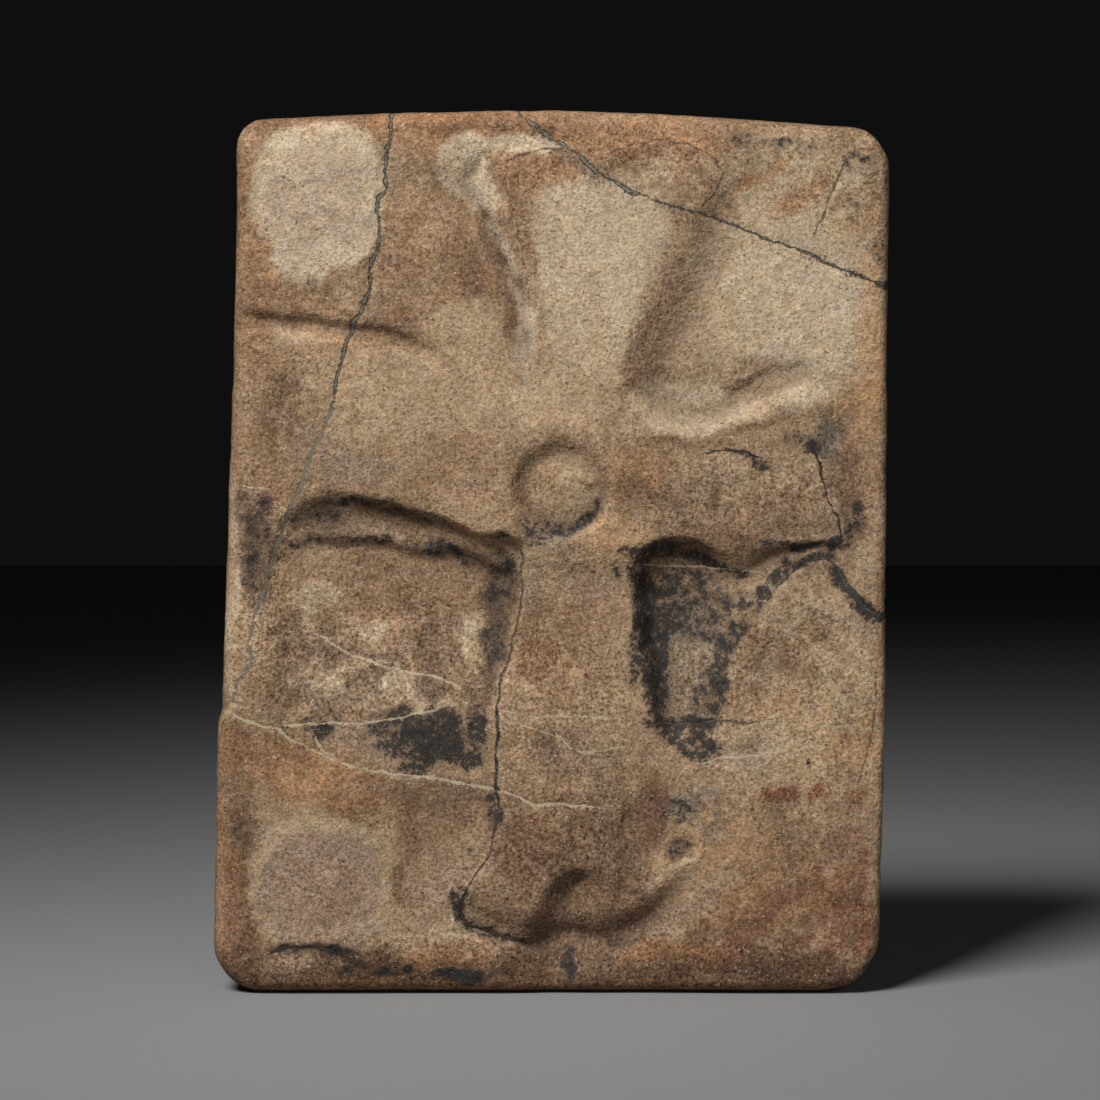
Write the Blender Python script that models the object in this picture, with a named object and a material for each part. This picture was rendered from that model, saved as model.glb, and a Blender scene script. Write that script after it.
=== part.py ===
"""Carved stone plaque: a flared cross in low relief on a thick, worn slab.

The slab is one block of sandstone, taller than it is wide, that stands on its
own flat underside. Its edges and corners are worn round. The cross stands
between four sunk hollows, carries a small sunk disc where its arms meet, and
ends below in a foot of two lobes.

Metres, +Z up. The carved face looks along -Y, and the origin is in the middle
of the underside.
"""

import bmesh
import bpy
import numpy as np

# Slab
WIDTH = 0.16880
HEIGHT = 0.22225
THICKNESS = 0.049

# Wear of the slab's outline, as a view of the carved face shows it
LEFT_LEAN = 0.0052
LEFT_BREAK = 0.0012
LEFT_BREAK_HEIGHT = 0.071
RIGHT_LEAN = 0.0020
TOP_SAG_LEFT = 0.0026
TOP_SAG_RIGHT = 0.0045
TOP_LEFT_RADIUS = 0.005
TOP_RIGHT_RADIUS = 0.009
BOTTOM_LEFT_RADIUS = 0.008
BOTTOM_RIGHT_RADIUS = 0.012

# Rounded edges: across the carved face, then back along the slab's depth
FACE_EDGE_ACROSS = 0.0045
FACE_EDGE_DEPTH = 0.005
FOOT_EDGE_ACROSS = 0.003
FOOT_EDGE_DEPTH = 0.008
FOOT_EDGE_REACH = 0.012
BACK_EDGE_RADIUS = 0.004

# Carving: its deepest cut below the face, and the sunk disc
CARVING_DEPTH = 0.0076
DISC_RADIUS = 0.0118
DISC_DEPTH = 0.0012
FACE_CROWN = 0.0008

# Mesh: the spacing of the first grid, and the triangles left for the solid
GRID_STEP = 0.001
EDGE_ROWS = 5
TRIANGLES = 8800
FLAT_TOLERANCE = 0.00015

STONE_COLOUR = (0.30, 0.22, 0.15, 1.0)
STONE_ROUGHNESS = 0.9

# The carving is drawn in millimetres on a sheet of this size, from the middle
# of its lower edge, and stretched with the slab.
SHEET_WIDTH = 168.75
SHEET_HEIGHT = 222.25
DRAWN_DEPTH = 7.6
SHEET_RIM = 14.0

# Upper arm: its two sides as (height, across) and its end as (across, height)
UPPER_ARM_LEFT = ((209, -12.5), (199, -13.1), (185, -8.2), (172, -4.9), (158, -2.9), (146, -2.2))
UPPER_ARM_RIGHT = ((209, 44), (197, 36.5), (182, 29.6), (167, 22), (153, 18.2), (146, 19.5))
UPPER_ARM_END = ((-14, 204), (-6, 211.4), (-1, 212.4), (10, 208.9), (16, 209.4), (28, 213.3), (37, 211.6),
                 (45, 204))
# Arm on the right: its upper and lower edges as (across, height), its end as (height, across)
RIGHT_ARM_TOP = ((17, 149.5), (29, 140.9), (36, 139.6), (49.4, 143.2), (61.4, 148), (67, 147.6), (74, 139))
RIGHT_ARM_BOTTOM = ((17, 109), (25.2, 114.4), (32, 115.4), (46, 112.8), (62, 113.8), (78, 111))
RIGHT_ARM_END = ((150, 66.8), (136, 67.1), (125.5, 68.8), (118, 72.6), (108, 72))
# Arm on the left, with the ledge below it, as (across, height)
LEFT_ARM_TOP = ((-78, 170.5), (-58, 168), (-35, 164.5), (-25, 158), (-10, 147), (-2, 145))
LEFT_ARM_BOTTOM = ((-69, 117), (-57, 125.5), (-48, 125.2), (-34, 121.7), (-18, 115.9), (-5, 114))
LEFT_ARM_LEDGE = ((-69, 112), (-57, 116), (-43, 115.2), (-31, 112.5), (-18.6, 112.3), (-12, 108))
# Stem: its sides as (height, across), with the crease that leads to the foot
STEM_LEFT = ((112, -6.9), (98, -7.5), (79, -12.6), (66, -13.6), (47.5, -12.8), (34.7, -15.4), (24, -22.3),
             (18, -23))
STEM_RIGHT = ((118, 25), (107.4, 19.9), (100, 19.7), (82.6, 22.6), (69, 25.2), (50, 28.5))
STEM_CREASE = ((54, 26), (45.2, 19.4), (37.5, 17.2), (23.5, 18))
# Hollows: the lower right one's far rim and the upper right one's step
LOWER_HOLLOW_RIM = ((112, 73), (104.5, 61.5), (92.6, 49.8), (86, 45.8), (70, 42.2), (56, 30))
UPPER_HOLLOW_STEP = ((40, 147), (50, 153.4), (60, 157.2), (72, 159))
# Foot: the undersides of its lobes as (across, height), the notch between them as (height, across)
LEFT_LOBE_UNDER = ((-24, 20), (-20, 17.2), (-11.4, 14.8), (-1, 13.6))
RIGHT_LOBE_UNDER = ((1, 15), (12.6, 15.4), (23.6, 19.8), (38, 31))
FOOT_NOTCH = ((9, -6), (16.5, -2.6), (26.8, 2.2), (31.4, 9))
# Middle of the sunk disc as (across, height)
DISC_CENTRE = (2.9, 126.8)

# Cuts below the face, in millimetres on the sheet
UPPER_LEFT_WALL_CUT = 2.9
UPPER_LEFT_FLOOR_CUT = 1.2
LEFT_ARM_GROOVE_CUT = 1.9
LEFT_ARM_BANK_CUT = 0.6
UPPER_RIGHT_CUT = 4.4
UPPER_RIGHT_STEP_CUT = 1.0
ABOVE_UPPER_ARM_CUT = 1.3
BESIDE_RIGHT_ARM_CUT = 1.7
LOWER_RIGHT_RIM_CUT = 1.1
LOWER_RIGHT_SLOPE_CUT = 1.7
LOWER_RIGHT_FLOOR_CUT = 2.6
UNDER_RIGHT_ARM_CUT = 1.8
RIGHT_ARM_ROUNDING = 0.7
LEFT_LEDGE_CUT = 2.2
LOWER_LEFT_CUT = 1.7
LEFT_LEDGE_LIP = 0.5
BESIDE_STEM_CUT = 0.9
LOBE_ROLL_CUT = 1.4
LOBE_UNDER_CUT = 0.9
FOOT_NOTCH_CUT = 2.1
RIGHT_LOBE_CUT = 1.9
STEM_CREASE_CUT = 0.8
STEM_DIP_CUT = 0.8
DISC_GROUND_SWELL = 0.9
LONG_WEAR_SWELL = 0.25
SHORT_WEAR_SWELL = 0.18


def ease(start, end, value):
    """Rise smoothly from 0 at start to 1 at end."""
    share = np.clip((value - start) / (end - start), 0.0, 1.0)
    return share * share * (3.0 - 2.0 * share)


def line_through(points, at):
    """Read a smooth cubic line through points, held level past its ends."""
    place, level = np.array(sorted(points), dtype=float).T
    slope = np.gradient(level, place)
    at = np.clip(at, place[0], place[-1])
    first = np.clip(np.searchsorted(place, at, side="right") - 1, 0, len(place) - 2)
    span = place[first + 1] - place[first]
    share = (at - place[first]) / span
    rest = 1.0 - share
    return ((1.0 + 2.0 * share) * rest**2 * level[first]
            + share * rest**2 * span * slope[first]
            + (1.0 + 2.0 * rest) * share**2 * level[first + 1]
            - rest * share**2 * span * slope[first + 1])


def lesser(one, other, softness):
    """Give the lesser of two values, blended where they are alike."""
    blend = np.clip(0.5 + 0.5 * (other - one) / softness, 0.0, 1.0)
    return other + (one - other) * blend - softness * blend * (1.0 - blend)


def bell(distance, width):
    """Fall from 1 at no distance towards 0, by width."""
    return np.exp(-(distance / width) ** 2)


def past(distance):
    """Keep a distance only where it is positive."""
    return np.clip(distance, 0.0, None)


def groove(distance, width_before, width_after):
    """Give a groove's share of its depth, with a gentle side and a steep one."""
    return np.where(distance < 0, bell(distance, width_before), bell(distance, width_after))


def upper_left_hollow(x, z):
    """Cut the hollow between the upper and the left arm, with the groove along the left arm."""
    from_upper = line_through(UPPER_ARM_LEFT, z) - x
    above_left = z - line_through(LEFT_ARM_TOP, x)
    wall = ease(0, 1, lesser(from_upper / 3.2, above_left / 8, 1))
    height = ease(216, 200, z) * (0.25 + 0.75 * ease(142, 168, z))
    depth = UPPER_LEFT_WALL_CUT * np.exp(-past(from_upper - 2.6) / 6.5)
    depth = depth + UPPER_LEFT_FLOOR_CUT * np.exp(-past(from_upper - 3) / 30)
    edge = groove(above_left, 3.4, 1.5) * ease(-79, -72, x) * ease(-26, -42, x)
    bank = bell(above_left - 6, 7) * ease(-79, -66, x) * ease(-26, -40, x)
    return height * depth * wall + LEFT_ARM_GROOVE_CUT * edge + LEFT_ARM_BANK_CUT * bank


def upper_right_hollow(x, z):
    """Cut the deep hollow between the upper and the right arm, with its step."""
    from_upper = x - line_through(UPPER_ARM_RIGHT, z)
    above_right = z - line_through(RIGHT_ARM_TOP, x)
    wall = ease(0, 1, lesser(from_upper / 10, above_right / 6.5, 0.5))
    away = past(past(from_upper) + 0.5 * past(above_right) - 8)
    depth = UPPER_RIGHT_CUT * np.exp(-(away / 34) ** 1.3) * ease(219, 185, z)
    step = groove(z - line_through(UPPER_HOLLOW_STEP, x), 5, 1.5) * ease(42, 50, x) * ease(72, 58, x)
    return depth * wall + UPPER_RIGHT_STEP_CUT * step


def beyond_the_arm_ends(x, z):
    """Cut the ground beyond the ends of the upper and the right arm."""
    above = ease(0, 2.6, z - line_through(UPPER_ARM_END, x)) * ease(224, 214, z)
    above = above * ease(-16, -7, x) * ease(50, 38, x) * (1.0 - 0.46 * ease(0, 20, x))
    beside = ease(0, 5, x - line_through(RIGHT_ARM_END, z))
    beside = beside * ease(162, 140, z) * ease(96, 118, z) * ease(94, 74, x)
    return ABOVE_UPPER_ARM_CUT * above + BESIDE_RIGHT_ARM_CUT * beside


def lower_right_hollow(x, z):
    """Cut the deepest hollow, between the right arm and the stem."""
    inside = line_through(LOWER_HOLLOW_RIM, z) - x
    below_arm = line_through(RIGHT_ARM_BOTTOM, x) - z
    wall = ease(0, 1, lesser((x - line_through(STEM_RIGHT, z)) / 3, below_arm / 1.9, 1))
    floor = LOWER_RIGHT_RIM_CUT * ease(-2.5, 2, inside) + LOWER_RIGHT_SLOPE_CUT * ease(0, 12, inside)
    floor = floor + LOWER_RIGHT_FLOOR_CUT * ease(2, 22, inside)
    floor = floor * ease(50, 74, z) * (1.0 - 0.45 * ease(42, 66, x))
    undercut = ease(0, 1.5, below_arm) * ease(44, 56, x) * ease(80, 70, x) * ease(98, 111, z)
    rounding = np.where(below_arm < 0, bell(below_arm, 4.5), np.exp(-past(below_arm) / 9))
    rounding = rounding * ease(24, 36, x) * ease(82, 70, x)
    return floor * wall + UNDER_RIGHT_ARM_CUT * undercut + RIGHT_ARM_ROUNDING * rounding


def lower_left_hollow(x, z):
    """Cut the shallow hollow left of the stem, in two ledges under the left arm."""
    from_stem = line_through(STEM_LEFT, z) - x
    below_ledge = line_through(LEFT_ARM_LEDGE, x) - z
    first = ease(0, 1, lesser(from_stem / 5 + 1.2, (line_through(LEFT_ARM_BOTTOM, x) - z) / 2, 0.5))
    first = first * ease(-74, -64, x) * (0.45 + 0.55 * ease(-68, -34, x))
    second = ease(0, 1, lesser(from_stem / 5, below_ledge / 1.7, 0.7)) * ease(-82, -42, x)
    height = (0.15 + 0.85 * ease(60, 100, z)) * ease(42, 66, z)
    lip = bell(below_ledge + 2.2, 2.2) * ease(-66, -56, x) * ease(-14, -22, x)
    beside_stem = ease(0, 1.3, from_stem) * ease(88, 70, z) * ease(14, 24, z) * np.exp(-past(from_stem) / 10)
    ledges = (LEFT_LEDGE_CUT * first + LOWER_LEFT_CUT * second) * height
    return ledges - LEFT_LEDGE_LIP * lip + BESIDE_STEM_CUT * beside_stem


def foot(x, z):
    """Cut the ground away under the two lobes of the foot, and the notch between them."""
    above_left = z - line_through(LEFT_LOBE_UNDER, x)
    left_reach = ease(-32, -17, x) * ease(6, -5, x)
    left = LOBE_ROLL_CUT * ease(6, 0, above_left) + LOBE_UNDER_CUT * ease(0.5, -1, above_left)
    left = left * np.exp(-past(-above_left) / 5) * left_reach
    notch_wall = ease(-2.4, 2.6, x - line_through(FOOT_NOTCH, z))
    notch = notch_wall * ease(33, 28.5, z + 0.25 * np.abs(x - 8)) * ease(2, 16, z)
    notch = notch * (0.35 + 0.65 * ease(17, 4, x)) * ease(24, 14, x)
    above_right = z - line_through(RIGHT_LOBE_UNDER, x)
    right = ease(3.2, -2.2, above_right) * np.exp(-past(-above_right) / 8) * ease(-4, 14, x) * ease(42, 20, x)
    crease = groove(x - line_through(STEM_CREASE, z), 1.3, 3.5) * ease(20, 30, z) * ease(56, 47, z)
    dip = bell(np.hypot((x - 27) / 6, (z - 44) / 9), 1)
    stem_end = STEM_CREASE_CUT * crease + STEM_DIP_CUT * dip
    return left + FOOT_NOTCH_CUT * notch + RIGHT_LOBE_CUT * right + stem_end


def sunk_disc(x, z, radius, depth):
    """Cut the disc at the crossing, crisp below right, on a ground that swells around it."""
    across = x - DISC_CENTRE[0]
    up = z - DISC_CENTRE[1]
    reach = np.hypot(across, up)
    crisp = ease(-1, 1, (across - up) / np.maximum(reach, 0.1))
    bowl = ease(1.08, 0.70 + 0.2 * crisp, reach / radius)
    bowl = bowl * (1.0 - 0.45 * ease(0.85, 0.1, reach / radius))
    swell = bell(np.hypot((across - 3) / 24, (up - 5) / 22), 1)
    return depth * bowl - DISC_GROUND_SWELL * swell


def carved_depth(x, z, from_edge):
    """Give how far the worn, carved face lies below the slab's front, in metres.

    x and z are metres from the middle of the underside, and from_edge is the
    distance in from the slab's outline.
    """
    x = x * SHEET_WIDTH / WIDTH
    z = z * SHEET_HEIGHT / HEIGHT
    scale = CARVING_DEPTH / DRAWN_DEPTH
    depth = upper_left_hollow(x, z) + upper_right_hollow(x, z) + beyond_the_arm_ends(x, z)
    depth = depth + lower_right_hollow(x, z) + lower_left_hollow(x, z) + foot(x, z)
    depth = depth + sunk_disc(x, z, DISC_RADIUS * SHEET_WIDTH / WIDTH, DISC_DEPTH / scale)
    swell = LONG_WEAR_SWELL * np.sin(x / 13 + 0.7) * np.sin(z / 17 + 1.3)
    swell = swell + SHORT_WEAR_SWELL * np.sin(x / 7.3 - z / 9.1) * np.cos(z / 11 + 0.4)
    crown = FACE_CROWN * ease(SHEET_RIM * WIDTH / SHEET_WIDTH, 0, from_edge)
    return (depth - swell) * scale + crown


def grid_lines(length):
    """Space grid lines along a length, close together within its rounded ends."""
    turn = np.linspace(0, np.pi / 2, EDGE_ROWS + 1)
    edge = FACE_EDGE_ACROSS * (1.0 - np.cos(turn))
    middle_steps = max(1, round((length - 2 * FACE_EDGE_ACROSS) / GRID_STEP))
    middle = np.linspace(FACE_EDGE_ACROSS, length - FACE_EDGE_ACROSS, middle_steps + 1)
    return np.concatenate((edge[:-1], middle, (length - edge[:-1])[::-1]))


def round_corners(across, up):
    """Pull a rectangle's points in to its four round corners, keeping their distance from the edge."""
    corners = ((-1, 1, TOP_LEFT_RADIUS), (1, 1, TOP_RIGHT_RADIUS),
               (-1, -1, BOTTOM_LEFT_RADIUS), (1, -1, BOTTOM_RIGHT_RADIUS))
    for side, end, radius in corners:
        centre_x = side * (WIDTH / 2 - radius)
        centre_z = HEIGHT / 2 + end * (HEIGHT / 2 - radius)
        out_x = side * (across - centre_x)
        out_z = end * (up - centre_z)
        inside = (out_x > 0) & (out_z > 0)
        pull = np.where(inside, np.maximum(out_x, out_z) / np.maximum(np.hypot(out_x, out_z), 1e-9), 1.0)
        across = np.where(inside, centre_x + side * out_x * pull, across)
        up = np.where(inside, centre_z + end * out_z * pull, up)
    return across, up


def wear_outline(across, up):
    """Lean the sides, break the left one back and let the top sag to both ends."""
    share = across / (WIDTH / 2)
    lean_left = LEFT_LEAN * ease(0, HEIGHT, up)
    lean_left = lean_left + LEFT_BREAK * ease(LEFT_BREAK_HEIGHT - 0.002, LEFT_BREAK_HEIGHT + 0.002, up)
    lean_right = RIGHT_LEAN * ease(HEIGHT, 0, up)
    sag = np.where(share < 0, TOP_SAG_LEFT * past(-share) ** 2, TOP_SAG_RIGHT * past(share) ** 1.5)
    moved = across + lean_left * past(-share) - lean_right * past(share)
    return moved, up * (1.0 - sag / HEIGHT)


def edge_drop(up, from_edge):
    """Give how far the face's rounded edge falls back, deeper and tighter along the foot."""
    foot_share = ease(FOOT_EDGE_REACH, 0, up)
    across = FACE_EDGE_ACROSS + (FOOT_EDGE_ACROSS - FACE_EDGE_ACROSS) * foot_share
    depth = FACE_EDGE_DEPTH + (FOOT_EDGE_DEPTH - FACE_EDGE_DEPTH) * foot_share
    short = np.clip(1.0 - from_edge / across, 0.0, 1.0)
    return depth * (1.0 - np.sqrt(1.0 - short**2))


def carved_sheet(mesh):
    """Fill mesh with the carved face, a grid spread over the outline and cut to the carving's depth.

    It returns the layer in which each corner keeps its place on the plain rectangle.
    """
    lines_x = grid_lines(WIDTH)
    lines_z = grid_lines(HEIGHT)
    columns = len(lines_x) - 1
    rows = len(lines_z) - 1
    bmesh.ops.create_grid(mesh, x_segments=columns, y_segments=rows, size=1.0)
    places = np.array([corner.co[:2] for corner in mesh.verts])
    column = np.rint((places[:, 0] + 1) / 2 * columns).astype(int)
    row = np.rint((places[:, 1] + 1) / 2 * rows).astype(int)
    flat_across = lines_x[column] - WIDTH / 2
    flat_up = lines_z[row]
    from_edge = np.minimum(WIDTH / 2 - np.abs(flat_across), np.minimum(flat_up, HEIGHT - flat_up))
    drop = edge_drop(flat_up, from_edge)
    across, up = wear_outline(*round_corners(flat_across, flat_up))
    depth = carved_depth(across, up, from_edge)
    depth = depth - depth.min() + drop
    rim_place = mesh.verts.layers.float_vector.new("rectangle place")
    for corner, flat_x, flat_z, x, y, z in zip(mesh.verts, flat_across, flat_up, across, depth, up):
        corner[rim_place] = (flat_x, 0.0, flat_z)
        corner.co = (x, y, z)
    return rim_place


def extend_back(mesh, rim_place, inset, depth):
    """Carry the open edge back to a depth, drawn in by inset from the slab's outline."""
    edges = [edge for edge in mesh.edges if edge.is_boundary]
    made = bmesh.ops.extrude_edge_only(mesh, edges=edges)["geom"]
    corners = [item for item in made if isinstance(item, bmesh.types.BMVert)]
    flat = np.array([corner[rim_place][:] for corner in corners])
    across = flat[:, 0] * (1.0 - 2 * inset / WIDTH)
    up = HEIGHT / 2 + (flat[:, 2] - HEIGHT / 2) * (1.0 - 2 * inset / HEIGHT)
    across, up = wear_outline(*round_corners(across, up))
    for corner, x, z in zip(corners, across, up):
        corner.co = (x, depth, z)


def close_back(mesh, rim_place):
    """Carry the sides to the back's rounded edge, turn it and fill the flat back."""
    for turn in np.linspace(0, np.pi / 2, EDGE_ROWS + 1):
        inset = BACK_EDGE_RADIUS * (1.0 - np.cos(turn))
        extend_back(mesh, rim_place, inset, THICKNESS - BACK_EDGE_RADIUS * (1.0 - np.sin(turn)))
    bmesh.ops.holes_fill(mesh, edges=[edge for edge in mesh.edges if edge.is_boundary], sides=0)
    bmesh.ops.triangulate(mesh, faces=mesh.faces[:])
    bmesh.ops.recalc_face_normals(mesh, faces=mesh.faces[:])


def lighten(stone):
    """Spend the solid's triangles where the carving turns, and give the finished mesh."""
    reduce = stone.modifiers.new("Fewer triangles", "DECIMATE")
    reduce.ratio = TRIANGLES / len(stone.data.polygons)
    evaluated = stone.evaluated_get(bpy.context.evaluated_depsgraph_get())
    finished = bpy.data.meshes.new_from_object(evaluated)
    stone.modifiers.remove(reduce)
    return finished


def settle(mesh):
    """Put the slab's middle over the origin, and its underside and back exactly in their planes."""
    places = np.empty(len(mesh.vertices) * 3, dtype=np.float32)
    mesh.vertices.foreach_get("co", places)
    places = places.reshape(-1, 3).astype(float)
    lowest = places.min(axis=0)
    highest = places.max(axis=0)
    places -= (lowest + highest) / 2 * (1, 1, 0) + lowest * (0, 0, 1)
    back = highest[1] - (lowest[1] + highest[1]) / 2
    places[places[:, 2] < FLAT_TOLERANCE, 2] = 0.0
    places[places[:, 1] > back - FLAT_TOLERANCE, 1] = back
    mesh.vertices.foreach_set("co", places.astype(np.float32).ravel())
    mesh.update()


def stone_material():
    """Make the plain material of weathered brown sandstone."""
    material = bpy.data.materials.new("weathered_sandstone")
    material.use_nodes = True
    shader = material.node_tree.nodes["Principled BSDF"]
    shader.inputs["Base Color"].default_value = STONE_COLOUR
    shader.inputs["Roughness"].default_value = STONE_ROUGHNESS
    shader.inputs["Metallic"].default_value = 0.0
    material.diffuse_color = STONE_COLOUR
    return material


def make_plaque(collection):
    """Make the plaque: one solid block with its carved face."""
    sheet = bmesh.new()
    close_back(sheet, carved_sheet(sheet))
    mesh = bpy.data.meshes.new("plaque")
    sheet.to_mesh(mesh)
    sheet.free()
    plaque = bpy.data.objects.new("plaque", mesh)
    collection.objects.link(plaque)
    plaque.data = lighten(plaque)
    bpy.data.meshes.remove(mesh)
    plaque.data.name = "plaque"
    settle(plaque.data)
    plaque.data.materials.append(stone_material())
    plaque.data.shade_smooth()
    plaque.data.set_sharp_from_angle(angle=np.radians(40))
    return plaque


def main():
    """Clear the scene and build the plaque in its own collection."""
    for item in list(bpy.data.objects):
        bpy.data.objects.remove(item)
    collection = bpy.data.collections.new("stone_plaque")
    bpy.context.scene.collection.children.link(collection)
    make_plaque(collection)


main()
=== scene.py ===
"""Looks of a carved stone plaque: a worn slab of sandstone with a flared cross in low relief.

One fine surface replaces the plain solid. Its carving, wear and cracks are
functions of the place on the slab, in millimetres on a sheet as large as the
carved face: across from the middle, up from the foot and back from the front.
"""
import logging
import math
from dataclasses import dataclass, field
from enum import Enum

import bpy
import numpy as np
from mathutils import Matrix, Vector


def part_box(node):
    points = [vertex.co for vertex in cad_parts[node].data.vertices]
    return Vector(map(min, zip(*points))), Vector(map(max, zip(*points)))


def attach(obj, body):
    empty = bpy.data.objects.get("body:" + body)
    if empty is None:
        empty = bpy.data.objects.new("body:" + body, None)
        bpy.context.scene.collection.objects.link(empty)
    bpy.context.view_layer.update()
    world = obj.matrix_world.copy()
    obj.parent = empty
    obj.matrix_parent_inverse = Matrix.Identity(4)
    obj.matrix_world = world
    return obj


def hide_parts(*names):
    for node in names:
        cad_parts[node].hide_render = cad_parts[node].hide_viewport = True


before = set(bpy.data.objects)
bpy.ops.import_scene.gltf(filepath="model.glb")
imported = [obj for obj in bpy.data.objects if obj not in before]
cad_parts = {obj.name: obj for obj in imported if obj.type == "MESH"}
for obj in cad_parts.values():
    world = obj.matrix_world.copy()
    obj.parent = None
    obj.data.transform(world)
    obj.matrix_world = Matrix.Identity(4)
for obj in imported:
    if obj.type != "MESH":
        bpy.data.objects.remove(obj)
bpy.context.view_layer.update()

MM = 0.001
LOG = logging.getLogger("plaque")


def ease(start: float, end: float, value: np.ndarray) -> np.ndarray:
    """Rise smoothly from 0 at start to 1 at end: 3t^2 - 2t^3 of the clamped share t.

    Args:
        start: value where the result is 0.
        end: value where the result is 1.
        value: values to read.

    Returns:
        The eased share for each value.
    """
    share = np.clip((value - start) / (end - start), 0.0, 1.0)
    return share * share * (3.0 - 2.0 * share)


def bell(distance: np.ndarray, width: float) -> np.ndarray:
    """Fall from 1 at no distance towards 0: exp of minus the squared share of width.

    Args:
        distance: distances from the middle.
        width: distance at which about a third is left.

    Returns:
        The share left at each distance.
    """
    return np.exp(-(distance / width) ** 2)


def past(distance: np.ndarray) -> np.ndarray:
    """Keep a distance only where it is positive."""
    return np.clip(distance, 0.0, None)


def fade(distance: np.ndarray, length: float) -> np.ndarray:
    """Fall from 1 towards 0 past a place: exp of minus the positive distance over length."""
    return np.exp(-past(distance) / length)


def lesser(one: np.ndarray, other: np.ndarray, softness: float) -> np.ndarray:
    """Give the lesser of two values, blended by a parabola where they are alike.

    Args:
        one: first values.
        other: second values.
        softness: difference within which the two are blended.

    Returns:
        The blended lesser values.
    """
    blend = np.clip(0.5 + 0.5 * (other - one) / softness, 0.0, 1.0)
    return other + (one - other) * blend - softness * blend * (1.0 - blend)


def groove(distance: np.ndarray, before: float, after: float) -> np.ndarray:
    """Give a groove's share of its depth, as two half bells of their own widths.

    Args:
        distance: signed distance from the groove's bottom.
        before: width of the side with negative distances.
        after: width of the side with positive distances.

    Returns:
        The share of the depth at each distance.
    """
    return np.where(distance < 0, bell(distance, before), bell(distance, after))


def linear(seen: tuple[float, float, float]) -> np.ndarray:
    """Turn a colour of 0 to 255 as it looks into linear light.

    Args:
        seen: red, green and blue from 0 to 255.

    Returns:
        The three linear values.
    """
    share = np.array(seen, dtype=float) / 255.0
    return np.where(share <= 0.04045, share / 12.92, ((share + 0.055) / 1.055) ** 2.4)


@dataclass(frozen=True)
class Noise:
    """Smooth random field on halving lattices.

    Random numbers from -1 to 1 stand on a cubic lattice. Between them a value is
    blended by 6t^5 - 15t^4 + 10t^3, and each further octave halves the lattice
    and is scaled by gain.
    """

    size: float
    octaves: int = 1
    gain: float = 0.5
    seed: int = 1
    lattice: int = 64

    def at(self, places: np.ndarray) -> np.ndarray:
        """Read the field.

        Args:
            places: rows of across, back and up, in millimetres.

        Returns:
            One value for each row, mostly from -1 to 1.
        """
        total = np.zeros(len(places))
        strength = 1.0
        for octave in range(self.octaves):
            total += strength * self._blend(places * 2.0**octave / self.size, self.seed + octave)
            strength *= self.gain
        return total

    def _blend(self, places: np.ndarray, seed: int) -> np.ndarray:
        """Blend the eight lattice numbers around each place.

        Args:
            places: rows of lattice coordinates.
            seed: seed of the lattice's numbers.

        Returns:
            One value for each row.
        """
        table = np.random.default_rng(seed).uniform(-1.0, 1.0, (self.lattice,) * 3)
        cell = np.floor(places).astype(int)
        share = places - cell
        share = share**3 * (share * (share * 6.0 - 15.0) + 10.0)
        total = np.zeros(len(places))
        for corner in np.ndindex(2, 2, 2):
            weight = np.prod(np.where(np.array(corner) == 1, share, 1.0 - share), axis=1)
            total += weight * table[tuple(((cell + corner) % self.lattice).T)]
        return total


@dataclass(frozen=True)
class Spline:
    """Smooth line through knots, as cubic Hermite pieces with the knots' own mean slopes."""

    knots: tuple[tuple[float, float], ...]

    def at(self, values: np.ndarray) -> np.ndarray:
        """Read the line, held level past its ends.

        Args:
            values: places along the line.

        Returns:
            The line's level at each place.
        """
        place, level = np.array(sorted(self.knots), dtype=float).T
        slope = np.gradient(level, place)
        values = np.clip(values, place[0], place[-1])
        first = np.clip(np.searchsorted(place, values, side="right") - 1, 0, len(place) - 2)
        span = place[first + 1] - place[first]
        share = (values - place[first]) / span
        rest = 1.0 - share
        return ((1.0 + 2.0 * share) * rest**2 * level[first]
                + share * rest**2 * span * slope[first]
                + (1.0 + 2.0 * rest) * share**2 * level[first + 1]
                - rest * share**2 * span * slope[first + 1])


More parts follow.
